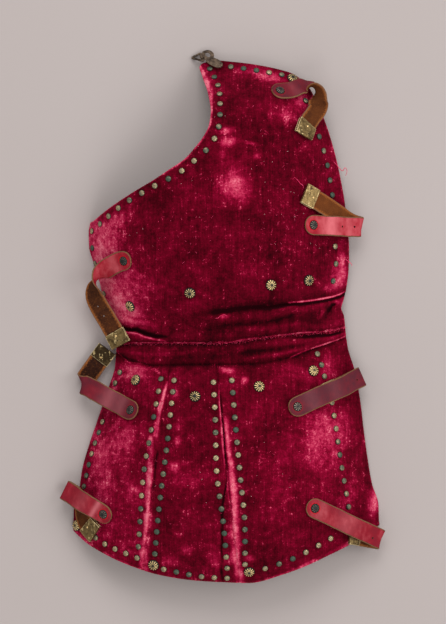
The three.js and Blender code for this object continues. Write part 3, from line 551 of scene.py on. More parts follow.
# %% Rivet tables
# Columns: panel, count, path as x, y in millimetres.
RIVET_ROWS = [
    ("breast", 8, [[-12, 265.5], [-3, 246], [-1, 224.5], [-2.5, 201.5], [-7, 189]]),
    ("breast", 11, [[-16, 176.5], [-42, 154.5], [-77, 135.5], [-105, 119], [-138.5, 91.5]]),
    ("breast", 2, [[-138, 73.5], [-135, 57]]),
    ("breast", 1, [[-125.5, 24.5]]),
    ("breast", 5, [[10.5, 267.5], [38.5, 263.5], [65, 259]]),
    ("breast", 1, [[90.5, 231]]),
    ("breast", 5, [[105, 192.5], [113, 165.5], [119, 130]]),
    ("breast", 3, [[122, 75], [123, 56], [120, 38]]),
    ("skirt_side", 2, [[-108.5, -60], [-113.5, -71.5]]),
    ("skirt_side", 7, [[-127, -113], [-139, -148.5], [-147, -182.5]]),
    ("skirt_side", 1, [[-153, -215]]),
    ("skirt_side", 6, [[-143.5, -230], [-124, -243.5], [-102.5, -252.5], [-89.5, -257.5]]),
    ("skirt_side", 14, [[-64, -66.5], [-74.5, -123], [-82, -165.5], [-88, -245.5]]),
    ("skirt_middle", 16, [[-50, -68], [-56.5, -129.5], [-66, -205], [-70.5, -253]]),
    ("skirt_middle", 16, [[-8, -70], [-6, -113], [-4.5, -166.5], [2.5, -220], [6.5, -268]]),
    ("skirt_middle", 6, [[-61, -269.5], [-23, -277], [6.5, -279]]),
    ("skirt_front", 16, [[11.5, -68], [16, -123], [21, -175.5], [25, -216], [25.5, -264]]),
    ("skirt_front", 6, [[47, -268.5], [77, -258], [117, -237]]),
    ("skirt_front", 3, [[103, -40], [107, -50.5], [110.5, -64]]),
    ("skirt_front", 9, [[118.5, -92], [123, -120], [129, -161], [136.5, -203.5]]),
]
ROSETTES = table([
    [-97, 11], [-33, 25], [53, 33.5], [93.5, 38.5], [-91, -68], [-27.5, -85], [40.5, -74.5], [98.5, -58],
    [-72, -265], [30, -272], [-154.6, -224.4], [76.5, 255],
])
rivets = {}
for panel, count, path in RIVET_ROWS:
    rivets.setdefault(panel, []).extend(even_spots(table(path), count))
all_rivets = np.array([spot for spots in rivets.values() for spot in spots])
print("small rivets:", len(all_rivets))

# %% [markdown]
# ## The velvet's own relief
# Over the solids' face the velvet swells a little between its rivets, is drawn in under each head and
# sinks into every seam. A few long waves added together stand for the slack of old cloth.

# %% Velvet height
CLOTH = 2.4 * MM
GAP = 0.3 * MM
DENT = {"depth": 0.75 * MM, "radius": 5.2 * MM}
ROLL = {"rise": 1.1 * MM, "width": 3.2 * MM}  # the turned-in edge is thicker than the cloth
ROLL_SINK = 0.6 * ROLL["rise"]  # lets the rest of the velvet keep the solids' height
SLACK = {"rise": 0.45 * MM, "longest": 70 * MM, "shortest": 24 * MM}
WAIST_SLACK = {"rise": 0.55 * MM, "longest": 60 * MM, "shortest": 22 * MM}
WAIST_STRETCH = 2.6  # folds at the waist are this much longer than they are high
WAIST = {"y": 2 * MM, "reach": 26 * MM}
RELIEF_RIM = 14 * MM  # height over the floor under which the relief dies away


def waves(x, y, longest, shortest, seed, count=14):
    """A smooth random field from -1 to 1, made of sine waves of random direction and length."""
    draw = np.random.default_rng(seed)
    total = np.zeros(np.shape(x))
    for _ in range(count):
        turn, phase = draw.uniform(0, 2 * math.pi, 2)
        length = draw.uniform(shortest, longest)
        total += np.sin((x * math.cos(turn) + y * math.sin(turn)) * 2 * math.pi / length + phase)
    return total / math.sqrt(2 * count)


def dents(x, y, spots, depth, radius):
    """A round hollow under each spot."""
    total = np.zeros(np.shape(x))
    reach = 3 * radius
    for spot in spots:
        near = (np.abs(x - spot[0]) < reach) & (np.abs(y - spot[1]) < reach)
        far = ((x[near] - spot[0]) ** 2 + (y[near] - spot[1]) ** 2) / radius**2
        total[near] -= depth * np.exp(-far)
    return total


def edge_distance(x, y):
    """How far a point of the plan is from the garment's own outline, roughly."""
    ends = np.minimum(y - hem_y(x), shoulder_y(x) - y)
    armhole, _ = nearest(ARMHOLE[:, ::-1], x, y)
    sides = np.minimum(x - left_x(y), front_x(y) - x)
    return np.clip(np.minimum(np.minimum(ends, sides), armhole), 0, None)


def velvet_height(x, y):
    """The face of the velvet with all its relief."""
    plain = form_height(x, y)
    relief = fold_height(FOLDS, x, y) + fold_height(CREASES, x, y)
    relief += SLACK["rise"] * waves(x, y, SLACK["longest"], SLACK["shortest"], 3)
    waist = np.exp(-(((y - WAIST["y"]) / WAIST["reach"]) ** 2))
    level_folds = waves(x, WAIST_STRETCH * y, WAIST_SLACK["longest"], WAIST_SLACK["shortest"], 4)
    relief += WAIST_SLACK["rise"] * waist * level_folds
    relief += dents(x, y, all_rivets, **DENT)
    edge = edge_distance(x, y)
    relief += ROLL["rise"] * np.exp(-(((edge - ROLL["width"]) / ROLL["width"]) ** 2)) - ROLL_SINK
    return plain + relief * smoothstep(plain, 0, RELIEF_RIM)


first_rivet = float(velvet_height(*all_rivets[:1].T)[0])
print("the velvet under the first rivet lies", round(first_rivet / MM, 1), "mm over the floor")

# %% [markdown]
# ## Shells with rolled edges
# Cloth, leather and sheet brass are all thin sheets with two faces and a rounded edge. One helper makes
# any of them from two grids of points, and rounds the edge between them. The result is closed, so it can
# be printed or weighed.

# %% Mesh helpers
def new_mesh(name, points, faces, materials, face_material=None, marks=None, smooth=True):
    """A mesh object from points in the pattern, with named numbers ("marks") on its points."""
    mesh = bpy.data.meshes.new(name)
    mesh.from_pydata((np.asarray(points) - PATTERN_MIDDLE).tolist(), [], faces)
    for finish in materials:
        mesh.materials.append(finish.material)
    if face_material is not None:
        mesh.polygons.foreach_set("material_index", np.asarray(face_material, np.int32))
    for key, values in (marks or {}).items():
        layer = mesh.attributes.new(key, "FLOAT", "POINT")
        layer.data.foreach_set("value", np.asarray(values, np.float32))
    mesh.polygons.foreach_set("use_smooth", np.full(len(mesh.polygons), smooth))
    mesh.update()
    piece = bpy.data.objects.new(name, mesh)
    bpy.context.scene.collection.objects.link(piece)
    return piece


def grid_faces(rows, columns, start=0, flip=False):
    """Four-sided faces between the points of a grid."""
    i, j = np.meshgrid(np.arange(rows - 1), np.arange(columns - 1), indexing="ij")
    a = start + (i * columns + j).ravel()
    quads = np.column_stack([a, a + 1, a + columns + 1, a + columns])
    return quads[:, ::-1] if flip else quads


def unit(vectors):
    """The same directions with a length of 1."""
    return vectors / np.maximum(np.linalg.norm(vectors, axis=-1, keepdims=True), 1e-12)


def normals_of(height, x, y, step=0.5 * MM):
    """Directions that stand upright on a height over the plan."""
    dx = (height(x + step, y) - height(x - step, y)) / (2 * step)
    dy = (height(x, y + step) - height(x, y - step)) / (2 * step)
    return unit(np.stack([-dx, -dy, np.ones(np.shape(dx))], axis=-1))


# %% [markdown]
# A sheet's edge is a half circle between its two faces. Its points are turned from the upper face to the
# lower one in a few steps, outwards all round.

# %% Rolled shells
RIM_STEPS = np.radians([30, 65, 90, 115, 150])
LOWEST = 0.05 * MM  # nothing reaches lower than this over the floor


def rolled_shell(name, outer, inner, materials, marks):
    """A closed sheet between two grids. Its materials are for the outer face, the inner one and the edge."""
    rows, columns = outer.shape[:2]
    loop = [(0, j) for j in range(columns)] + [(i, columns - 1) for i in range(1, rows)]
    loop += [(rows - 1, j) for j in range(columns - 2, -1, -1)] + [(i, 0) for i in range(rows - 2, 0, -1)]
    i, j = np.array(loop).T
    top, bottom = outer[i, j], inner[i, j]
    out = unit(top - outer[np.clip(i, 1, rows - 2), np.clip(j, 1, columns - 2)])
    across = unit(top - bottom)
    out = unit(out - across * np.sum(out * across, axis=1, keepdims=True))
    middle, half = (top + bottom) / 2, np.linalg.norm(top - bottom, axis=1, keepdims=True) / 2
    rim = [middle + math.cos(a) * (top - middle) + math.sin(a) * half * out for a in RIM_STEPS]
    points = np.concatenate([outer.reshape(-1, 3), *rim, inner.reshape(-1, 3)])
    points[:, 2] = np.maximum(points[:, 2], LOWEST)

    size, count = rows * columns, len(loop)
    inner_start = size + count * len(rim)
    flat = i * columns + j
    rings = [flat, *(size + k * count + np.arange(count) for k in range(len(rim))), inner_start + flat]
    edge = [np.column_stack([a, b, np.roll(b, -1), np.roll(a, -1)]) for a, b in zip(rings[:-1], rings[1:])]
    upper, lower = grid_faces(rows, columns), grid_faces(rows, columns, inner_start, flip=True)
    faces = np.concatenate([upper, *edge, lower])
    kinds = np.concatenate([np.zeros(len(upper)), np.full(count * len(edge), 2), np.ones(len(lower))])
    spread = {}
    for key, values in marks.items():
        spread[key] = np.concatenate([values.ravel(), np.tile(values[i, j], len(rim)), values.ravel()])
    return new_mesh(name, points, faces.tolist(), materials, kinds, spread)


print("an edge has", len(RIM_STEPS) + 1, "rows of faces")

# %% [markdown]
# ## Wear
# Silk velvet loses its pile where it rubs, and the ground weave under it has faded to pink. Rubbed places
# are named one by one: soft ovals where the garment bulged or was handled, and bands along its seams.
# Each gets a strength, and the material later breaks them up into threads and flecks. The ovals down the
# steep left side are partly wear and partly painted sheen, where the velvet turns away.

# %% Tables of wear
# Columns: x, y, radius along x, radius along y in millimetres, turn in degrees, strength.
# The ovals with x below about -85 mm, down the steep left side, are partly painted sheen as well as wear.
WEAR_AND_SHEEN_SPOTS = [
    (12, 142, 14, 12, -35, 1.0), (19, 133, 8, 14, 25, 0.55), (6.5, 186, 8, 3.6, 5, 1.15),
    (5, 197.5, 7, 3.2, 8, 0.85), (31, 184.5, 6, 1.2, -12, 1.1), (38.5, 170.5, 3.2, 3, 0, 0.8),
    (0, 172, 5, 4, 0, 0.5), (52, 211, 2, 9, 25, 0.4), (-124, 84, 17, 24, 15, 0.72), (-134, 62, 8, 22, 5, 0.8),
    (-124, 33, 9, 17, 12, 0.95), (-112, 16, 12, 14, 30, 0.95), (-118, 60, 16, 30, 8, 0.35),
    (-92, 3, 14, 8, -20, 0.75), (-100, 22, 20, 24, 0, 0.35), (-86, 42, 26, 22, 0, 0.2),
    (-112, 100, 18, 8, 35, 0.45), (52, 256, 13, 5.5, -8, 0.95), (30, 263, 14, 4.5, -5, 0.6),
    (60, 222, 12, 14, 0, 0.3), (84, 221, 10, 17, 15, 0.55), (70, 214, 7, 8, 0, 0.45), (88, 236, 5, 6, 0, 0.5),
    (126, 43, 9, 14, 0, 0.8), (129, 60, 4, 18, 0, 0.6), (114, 30, 6, 5, 0, 0.55), (3, 0.5, 4.5, 2.4, 15, 1.0),
    (118, 160, 8, 20, 10, 0.3), (-12, 252, 6, 14, 15, 0.35), (-30, 12, 8, 4, 0, 0.25),
    (-115, -124, 27, 72, 10, 0.26), (-95, -60, 20, 10, 8, 1.0), (-118, -84, 9, 16, 15, 0.6),
    (-133, -138, 10, 28, 12, 0.6), (-104, -140, 14, 20, 0, 0.35), (-128, -185, 16, 16, 0, 0.38),
    (-145, -205, 8, 20, 5, 0.45), (-118, -222, 18, 14, 0, 0.35), (-95, -190, 12, 16, 0, 0.3),
    (-100, -245, 18, 8, 30, 0.4), (-140, -232, 8, 8, 0, 0.7), (106, -127, 16, 45, -8, 0.5),
    (112, -112, 15, 22, -12, 0.35), (127, -140, 8, 26, -8, 0.45), (140, -185, 6, 20, -10, 0.45),
    (164, -198, 5, 13, -15, 1.0),
    (96, -140, 12, 14, 0, 0.35), (88, -60, 12, 6, -15, 0.35), (60, -95, 7, 4, 0, 0.3),
    (116, -52, 6, 10, 0, 0.5),
    (6.5, -57, 6, 2.4, -5, 1.1), (25.7, -67, 3.5, 2.6, 20, 1.0), (-37.5, -249, 6, 5, 0, 0.8),
    (32, -257, 6, 3, 0, 0.9), (-48, -84, 3, 4, 0, 0.8), (-46, -133, 3.4, 4.5, 0, 0.8),
    (-50, -160, 4, 7, 30, 0.75), (-28, -172, 14, 10, 0, 0.42), (-46, -118, 3, 3, 0, 0.6),
    (60, -185, 12, 16, 0, 0.22), (84, -235, 16, 5, 25, 0.35), (-20, -215, 16, 14, 0, 0.22),
    (128, -205, 8, 10, 0, 0.4), (70, -130, 10, 12, 0, 0.2), (-52, -262, 12, 5, -10, 0.5),
    (0, -262, 12, 8, 0, 0.35),
]
# Places where the pile is still deep, with the same columns.
DEEP_SPOTS = [
    (10, -8, 100, 13, 5, 0.38), (-10, -40, 95, 10, 3, 0.42), (95, 2, 26, 12, 10, 0.2),
    (0, 66, 90, 50, 0, 0.03), (40, 165, 40, 60, 0, 0.1), (-20, 60, 46, 30, 0, 0.05),
    (-12, -150, 9, 60, -4, 0.12), (45, -215, 30, 30, 0, 0.1),
]
# Columns: half width in millimetres at the start and at the end, strength, path as x, y.
WORN_BANDS = [
    (1.6, 3.0, 1.2, [[-57.5, -70], [-61.5, -86], [-65.5, -99], [-67.5, -113], [-70, -126]]),
    (3.6, 4.6, 1.0, [[-74.5, -130], [-76.5, -160], [-77.5, -190], [-77.5, -212], [-80, -229], [-82, -245],
                     [-83, -270]]),
    (1.0, 1.4, 0.9, [[-2.2, -72], [-1.5, -92], [1, -112], [2, -135], [6, -165], [8, -190], [10, -205]]),
    (2.5, 4.8, 1.15, [[5, -110], [7, -132], [11, -159], [12, -176], [14, -192], [14, -220], [15.5, -250],
                      [20, -283]]),
    (0.9, 0.9, 1.15, [[-112.8, -37], [-99.5, -49], [-82.4, -50.6], [-71.7, -55.5], [-65.3, -61]]),
    (0.9, 0.9, 1.3, [[134, 27.4], [127.3, 23.8], [118.8, 21.1], [101.7, 17.9], [84.5, 15.7], [72, 14.8]]),
    (1.6, 1.6, 0.6, [[-110, -8], [-96, -9.5], [-80, -13]]),
    (0.8, 0.8, 0.75, [[-106, -15.8], [-97, -17.2], [-89, -18.2], [-82, -21.7], [-70, -24.4], [-59, -26.4]]),
    (0.8, 0.8, 1.1, [[74, -43.6], [89, -37], [106, -31.2], [123, -25.6], [133, -21.6]]),
    (0.9, 0.9, 1.25, [[134, -11.4], [111.5, -16.2], [84, -17.6], [70.5, -19.2], [46, -22], [20, -25.4],
                      [10, -27.6]]),
    (0.8, 0.8, 1.15, [[10, -27.6], [-18, -28.2], [-60, -28.2], [-104, -28.2], [-112, -29.2]]),
    (0.7, 0.7, 1.0, [[-140, -129], [-128, -141], [-118, -145], [-110, -148]]),
]
print("worn ovals:", len(WEAR_AND_SHEEN_SPOTS), "bands:", len(WORN_BANDS), "deep places:", len(DEEP_SPOTS))

# %% [markdown]
# The tables could be painted on an image instead, but an image has one resolution and belongs to one mesh.
# A function of the plan gives each point of the velvet its own wear, with painted sheen on the steep left
# side, whichever piece the point is on.

# %% Wear at a point
MOST_WEAR = 1.3  # ovals that overlap don't add up to more than about this
RAGGED = 0.3  # how much a band's width and strength wander


def oval(x, y, cx, cy, rx, ry, turn, strength):
    """A soft oval: its strength in the middle, fading to 0."""
    dx, dy, a = x - cx * MM, y - cy * MM, math.radians(turn)
    u, v = dx * math.cos(a) + dy * math.sin(a), dy * math.cos(a) - dx * math.sin(a)
    return strength * np.exp(-0.7 * ((u / (rx * MM)) ** 2 + (v / (ry * MM)) ** 2))


def wear_and_sheen_of(x, y):
    """How pale the velvet is at each point, from wear and from painted sheen on the steep left side: about 1
    where it is bare, and below 0 where pile is deep.
    """
    wear = np.zeros(np.shape(x))
    for row in WEAR_AND_SHEEN_SPOTS:
        wear += oval(x, y, *row) * np.clip(MOST_WEAR - wear, 0, 1)
    for first, last, strength, path in WORN_BANDS:
        far, along = nearest(table(path), x, y)
        width = (first + (last - first) * along) * MM * (1 + RAGGED * waves(x, y, 30 * MM, 8 * MM, 6))
        strength = strength * (1 + RAGGED * waves(x, y, 40 * MM, 9 * MM, 7))
        wear = np.maximum(wear, strength * np.exp(-((far / width) ** 2)))
    pile = sum(oval(x, y, *row) for row in DEEP_SPOTS)
    return wear - pile * np.clip(1 - wear, 0, 1)


breast_spot = wear_and_sheen_of(WEAR_AND_SHEEN_SPOTS[0][0] * MM, WEAR_AND_SHEEN_SPOTS[0][1] * MM)
print("wear in the middle of the breast's spot:", round(float(breast_spot), 2))

# %% [markdown]
# ## Velvet
# Velvet is two cloths in one: a dark upright pile that swallows light, and a flat ground that shows where
# the pile is gone. So the material first works out one level for each point, and then reads the colour off
# a ramp, from deep pile over bright crimson to bare pink ground. The level adds the wear of the tables to
# noise of several sizes, and threads in both directions make its borders ragged. Painted shade lowers the
# level in creases and seams, and on the steep left side the wear also stands for painted sheen.

# %% Velvet material
WEAR_RAMP = [
    (0.0, srgb(30, 0, 4)), (0.2, srgb(66, 0, 12)), (0.38, srgb(100, 1, 25)), (0.52, srgb(134, 4, 42)),
    (0.63, srgb(168, 24, 66)), (0.78, srgb(200, 62, 94)), (1.0, srgb(226, 112, 132)),
]

SHEEN = (1.0, 0.12, 0.25, 1)

velvet = Finish("velvet_crimson", Specular_IOR_Level=0.04, Sheen_Weight=0.05, Sheen_Tint=SHEEN)
# "worn" is wear, and on the steep left side partly painted sheen as well.
worn, hollow = velvet.attribute("worn"), velvet.attribute("hollow")
clouds = velvet.noise(26, detail=4, roughness=0.6)
blotches = velvet.noise(120, detail=5, roughness=0.66, shift=3)
grains = velvet.noise(520, detail=4, roughness=0.7, shift=7)
warp = velvet.noise(60, detail=3, roughness=0.7, stretch=(9, 0.6, 0.6), shift=11)
weft = velvet.noise(60, detail=3, roughness=0.7, stretch=(0.6, 9, 0.6), shift=13)

PILE_LEVEL = 0.33  # where untouched pile lies on the ramp
FLECK_FROM, FLECK_TO = 0.725, 0.80  # only the highest of the noise becomes a fleck

bare = velvet.step(worn, 0.0, 1.0)
uneven = (blotches - 0.5) * 0.6 + (grains - 0.5) * 0.42
uneven = (clouds - 0.5) * 0.55 + uneven * (1.0 + bare * 0.6) + (weft - 0.5) * 0.1
uneven = uneven + (warp - 0.5) * (0.36 - bare * 0.16)
flecks = velvet.step(grains * 0.6 + blotches * 0.45 + warp * 0.2 + bare * 0.04, FLECK_FROM, FLECK_TO)
# Painted shade: "hollow" lowers the level, so creases and seams come out darker.
level = PILE_LEVEL + worn * 0.43 + uneven + flecks * 0.36 - hollow * 0.5
velvet.colour(velvet.node("ValToRGB", {"stops": WEAR_RAMP}, {"Fac": level}, output="Color"))
velvet.roughness(0.95 - bare * 0.2)
velvet.bump(grains * 0.7 + warp * 0.4 + weft * 0.2 + blotches * 0.5, 0.9 * MM, 0.6)
print("velvet:", len(velvet.tree.nodes), "nodes")

# %% [markdown]
# The inside face is undyed canvas. It hardly shows, but the hollow can be looked into from the sides.

# %% Canvas material
canvas = Finish("canvas_backing", roughness=0.95)
canvas_warp = canvas.noise(420, detail=2, stretch=(1, 0.25, 1))
canvas_weave = canvas_warp * canvas.noise(420, detail=2, stretch=(0.25, 1, 1))
canvas_stain = canvas.noise(22, detail=5)
canvas.colour(canvas.mix(canvas_stain, srgb(120, 98, 74), srgb(168, 148, 116)))
canvas.bump(canvas_weave, 0.3 * MM, 0.6)
print("canvas:", len(canvas.tree.nodes), "nodes")

# %% [markdown]
# ## Cutting the five pieces of velvet
# The pattern has five pieces: the breast down to the waist seam, the soft waist band, and three skirt
# panels. A grid covers each piece: rows run from one line across the garment to the next, and columns are
# shares of the way from its side to its front edge. Both are crowded at the ends, where seams and rolled
# edges need more points.

# %% Grids over the pattern
def across(line):
    """A line across the garment as y over its share of the width."""
    curve = through(line)
    return lambda share: curve(line[0, 0] + (line[-1, 0] - line[0, 0]) * share)


LINES = {
    "hem": across(HEM),
    "band": across(BAND_LINE),
    "seam": across(WAIST_SEAM),
    "waist_top": across(WAIST_TOP),
    "underarm": across(UNDERARM),
    "shoulder": across(SHOULDER),
}
SEAMS = {"side": through(SEAM_SIDE), "front": through(SEAM_FRONT)}


def crowded(count, amount=0.75):
    """Numbers from 0 to 1 that lie closer together at both ends."""
    t = np.linspace(0, 1, count + 1)
    return t - amount * np.sin(2 * math.pi * t) / (2 * math.pi)


print("lines across:", list(LINES), "seams:", list(SEAMS))

# %% [markdown]
# The table of the pieces says which lines and seams a piece lies between, and how finely it is divided. The
# breast is cut in one but runs over four lines, so that its rows can follow the waist and the underarm.

# %% Table of the pieces
FREE_EDGE = 0.0035  # the share of the width that a rolled edge bulges by
SEAM_ROUNDS = 6

# Columns: name, spans of rows (from, to, steps), columns, left and right limit, gap at start and end.
PANELS = [
    ("breast", [("seam", "waist_top", 58), ("waist_top", "underarm", 46), ("underarm", "shoulder", 96)],
     190, None, None, True, False),
    ("waist", [("band", "seam", 26)], 190, None, None, True, True),
    ("skirt_side", [("hem", "band", 140)], 62, None, "side", False, True),
    ("skirt_middle", [("hem", "band", 140)], 52, "side", "front", False, True),
    ("skirt_front", [("hem", "band", 140)], 96, "front", None, False, True),
]


def plan_row(start, end, part, shift, share):
    """A point of a row that lies between two lines, at a share of the width."""
    def level(across_share):
        return LINES[start](across_share) * (1 - part) + LINES[end](across_share) * part + shift

    first, last = left_x(level(0.0)), front_x(level(1.0))
    return first + (last - first) * share, level(share)


def seam_share(row, seam, moved):
    """The share of the width where a row crosses a seam, closer with each round."""
    share = 0.5
    for _ in range(SEAM_ROUNDS):
        (low, _), (high, _), (_, y) = plan_row(*row, 0.0), plan_row(*row, 1.0), plan_row(*row, share)
        share = float((SEAMS[seam](y) + moved - low) / (high - low))
    return share


def panel_grid(spans, columns, left, right, gap_start, gap_end):
    """The plan of one piece, as grids of x and y."""
    rows = []
    for index, (start, end, steps) in enumerate(spans):
        parts = np.linspace(0, 1, steps + 1)[min(index, 1):]
        rows += [[start, end, part, 0.0] for part in parts]
    seam_gap, free_gap = 0.65 * GAP, 1.0 * MM
    rows[0][3] = seam_gap if gap_start else free_gap
    rows[-1][3] = -seam_gap if gap_end else -free_gap
    grid = []
    for row in rows:
        low = seam_share(row, left, GAP / 2) if left else FREE_EDGE
        high = seam_share(row, right, -GAP / 2) if right else 1 - FREE_EDGE
        grid.append(np.stack(plan_row(*row, low + (high - low) * crowded(columns)), axis=-1))
    grid = np.array(grid)
    return grid[..., 0], grid[..., 1]


print("pieces of velvet:", len(PANELS), "with", sum(row[2] for row in PANELS), "columns")

# %% [markdown]
# Three more things belong to a point of the velvet: how far it sinks into a seam, how rubbed the turned edge
# is there, and whether it lies in a crease, which painted shade makes darker, or on a crest, which wear makes
# paler.

# %% Marks on the velvet
SEAM_WIDTH = 1.3 * MM
SEAM_DEPTH = 1.1 * MM
ARMHOLE_WEAR = {"width": 2.0 * MM, "wider": 3.0 * MM, "y": 246 * MM, "reach": 17 * MM}
HEM_WEAR = {"width": 1.3 * MM, "strength": 0.55}


def seam_dip(x, y):
    """How far the face sinks where it is sewn to its neighbour, from 0 to 1."""
    dip = np.zeros(np.shape(x))
    for path in (SEAM_SIDE[:, ::-1], SEAM_FRONT[:, ::-1], WAIST_SEAM, BAND_LINE):
        far, _ = nearest(path, x, y)
        dip = np.maximum(dip, np.exp(-((far / SEAM_WIDTH) ** 2)))
    return dip


def own_edge_wear(x, y):
    """Wear of the turned edge: strongest at the armhole, weak along the rest."""
    armhole, _ = nearest(ARMHOLE[:, ::-1], x, y)
    upper = np.exp(-(((y - ARMHOLE_WEAR["y"]) / ARMHOLE_WEAR["reach"]) ** 2))
    width = ARMHOLE_WEAR["width"] + ARMHOLE_WEAR["wider"] * upper
    roll = (0.95 + 0.6 * waves(x, y, 16 * MM, 5 * MM, 8)) * np.exp(-((armhole / width) ** 4))
    roll *= smoothstep(y, 120 * MM, 180 * MM)
    under_shoulder = smoothstep(shoulder_y(x) - y, 2 * MM, 9 * MM)
    hem = np.exp(-((edge_distance(x, y) / HEM_WEAR["width"]) ** 2)) * under_shoulder
    return np.maximum(roll, (HEM_WEAR["strength"] + 0.35 * waves(x, y, 24 * MM, 6 * MM, 9)) * hem)


def crease_shade_of(x, y):
    """How deep a point lies in a crease, from 0 to 1, which is painted shade, and below 0 on a crest, which
    is paler wear.
    """
    relief = fold_height(CREASES, x, y) / (1.5 * MM) + fold_height(FOLDS, x, y) / (13 * MM)
    return np.clip(-relief, -0.4, 1.1)


print("the seams sink by", round(SEAM_DEPTH / MM, 1), "mm")

# %% [markdown]
# Now the five pieces are made. Their back follows the solids' plain cloth and not the fine relief, as canvas
# does. The area of each face is measured and printed.

# %% Making the velvet
FACE_LOWEST = 0.4 * MM
CLOTH_LEAST = 1.4 * MM  # the thinnest that the cloth may get under a dent

cloth_area, cloth_pieces = {}, {}
for panel, spans, columns, left, right, gap_start, gap_end in PANELS:
    x, y = panel_grid(spans, columns, left, right, gap_start, gap_end)
    dip, rubbed = seam_dip(x, y), wear_and_sheen_of(x, y)
    face = np.stack([x, y, velvet_height(x, y) - SEAM_DEPTH * dip], axis=-1)
    face[..., 2] = np.maximum(face[..., 2], FACE_LOWEST)
    back = np.stack([x, y, cloth_height(x, y)], axis=-1) - normals_of(form_height, x, y) * CLOTH
    back[..., 2] = np.minimum(back[..., 2], face[..., 2] - CLOTH_LEAST)
    rubbed = rubbed + own_edge_wear(x, y) * np.clip(1.2 - rubbed, 0, 1)
    # The "hollow" mark is painted shade in creases and along the seams, and paler wear on crests.
    marks = {"worn": rubbed, "hollow": crease_shade_of(x, y) + 0.3 * dip}
    piece = rolled_shell("velvet_" + panel, face, back, [velvet, canvas, velvet], marks)
    corner = face[:-1, :-1]
    cells = np.linalg.norm(np.cross(face[1:, :-1] - corner, face[:-1, 1:] - corner), axis=-1)
    cloth_area[panel] = float(cells.sum())
    cloth_pieces[panel] = piece
    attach(piece, BODY)
    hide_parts("cloth_" + panel)
    print(piece.name, len(piece.data.polygons), "faces, area", round(cloth_area[panel], 4))

# %% [markdown]
# The plates under each piece of velvet stretch it.

# %% [markdown]
# ## Rivet heads
# Every head was struck in a die: a low dome with petals round it. One helper turns them all from a short
# profile of radius and height. Petals are waves round the head that cut into its rim and its face.

# %% One struck head
PETAL_SHARPNESS = 2.6  # the power that narrows the bright spokes
RIM_BITE = 0.07  # the share of the radius that a groove cuts out of the rim
# Shares of the radius between which a groove deepens, the rim is cut, and a petal begins and ends.
GROOVE_FROM, RIM_FROM = (0.3, 0.6), (0.8, 1)
PETAL_FROM, PETAL_TO = (0.1, 0.4), (0.84, 0.98)


def struck_head(profile, petals, cut, sectors):
    """Points of a head that faces +Z, its faces, and how far each point is up a petal and to the middle."""
    turn = np.arange(sectors) * 2 * math.pi / sectors
    groove = 0.5 - 0.5 * np.cos(petals * turn)
    spoke = (1 - groove) ** PETAL_SHARPNESS
    widest = max(radius for radius, _ in profile)
    points, petal, crown = [], [], []
    for radius, height in profile:
        share = radius / widest
        bite = groove**2 * smoothstep(share, *GROOVE_FROM)
        reach = radius * (1 - RIM_BITE * bite * smoothstep(share, *RIM_FROM))
        points.append(np.stack([reach * np.cos(turn), reach * np.sin(turn), height - cut * bite], axis=-1))
        petal.append(spoke * smoothstep(share, *PETAL_FROM) * (1 - smoothstep(share, *PETAL_TO)))
        crown.append(np.full(sectors, 1 - share))
    foot, top = profile[0][1], profile[-1][1]
    points = np.concatenate([*points, [[0, 0, top + 0.05 * MM]], [[0, 0, foot]]])
    rings = [k * sectors + np.arange(sectors) for k in range(len(profile))]
    faces = []
    for a, b in zip(rings[:-1], rings[1:]):
        faces += np.column_stack([a, np.roll(a, -1), np.roll(b, -1), b]).tolist()
    last = len(profile) * sectors
    faces += [[int(a), int(b), last] for a, b in zip(rings[-1], np.roll(rings[-1], -1))]
    faces += [[int(b), int(a), last + 1] for a, b in zip(rings[0], np.roll(rings[0], -1))]
    return points, faces, np.concatenate([*petal, [0, 0]]), np.concatenate([*crown, [1, 0]])


def profile_of(radius, height, foot=-0.9):
    """A low dome with a rounded rim: shares of the radius and of the height."""
    rim = [(0.9, foot / height), (1.0, 0), (1.0, 0.16), (0.95, 0.36), (0.84, 0.55), (0.68, 0.73)]
    return [(r * radius * MM, h * height * MM) for r, h in [*rim, (0.5, 0.86), (0.3, 0.96), (0.12, 1.0)]]


# Columns: profile, number of petals, depth of the grooves between them, points round the head.
HEADS = {
    "rivet": (profile_of(3.25, 1.75), 8, 0.14 * MM, 32),
    "rosette": (profile_of(6.1, 2.9), 12, 0.6 * MM, 120),
    "strap_rivet": (profile_of(5.2, 2.5), 10, 0.3 * MM, 80),
    "pin": (profile_of(1.3, 0.6, -0.3), 6, 0, 12),
}
for name, (profile, petals, _, _) in HEADS.items():
    print(name, "is", round(2 * profile[1][0] / MM, 1), "mm wide and has", petals, "petals")

# %% [markdown]
# Heads of one kind are joined in one mesh, because hundreds of objects would be slow to handle. Each is set
# upright on the cloth under it and turned at random, and it carries a number of its own for its colour.

# %% Many heads
FULL_TURN = 6.3  # in radians, about


def heads(name, feet, facings, finish, profile, petals, cut, sectors):
    """Many heads joined in one piece. "tone" is a random number for each head."""
    shape, shape_faces, petal, crown = struck_head(profile, petals, cut, sectors)
    points, faces, tones = [], [], []
    for foot, facing in zip(feet, facings):
        spin = random.uniform(0, FULL_TURN)
        first = unit(np.cross(facing, [math.sin(spin), math.cos(spin), 0.1]))
        basis = np.array([first, np.cross(facing, first), facing])
        start = len(points) * len(shape)
        points.append(foot + shape @ basis)
        faces += [[start + k for k in face] for face in shape_faces]
        tones.append(np.full(len(shape), random.uniform(0, 1)))
    count = len(points)
    marks = {"petal": np.tile(petal, count), "crown": np.tile(crown, count), "tone": np.concatenate(tones)}
    return new_mesh(name, np.concatenate(points), faces, [finish], marks=marks)


def on_velvet(x, y, clear=0.0):
    """Feet and facings for heads at points of the plan."""
    x, y = np.atleast_1d(x), np.atleast_1d(y)
    level = np.maximum(velvet_height(x, y), cloth_height(x, y) - 0.4 * MM)
    facing = normals_of(velvet_height, x, y, 2.5 * MM)
    return np.stack([x, y, level], axis=-1) + clear * facing, facing


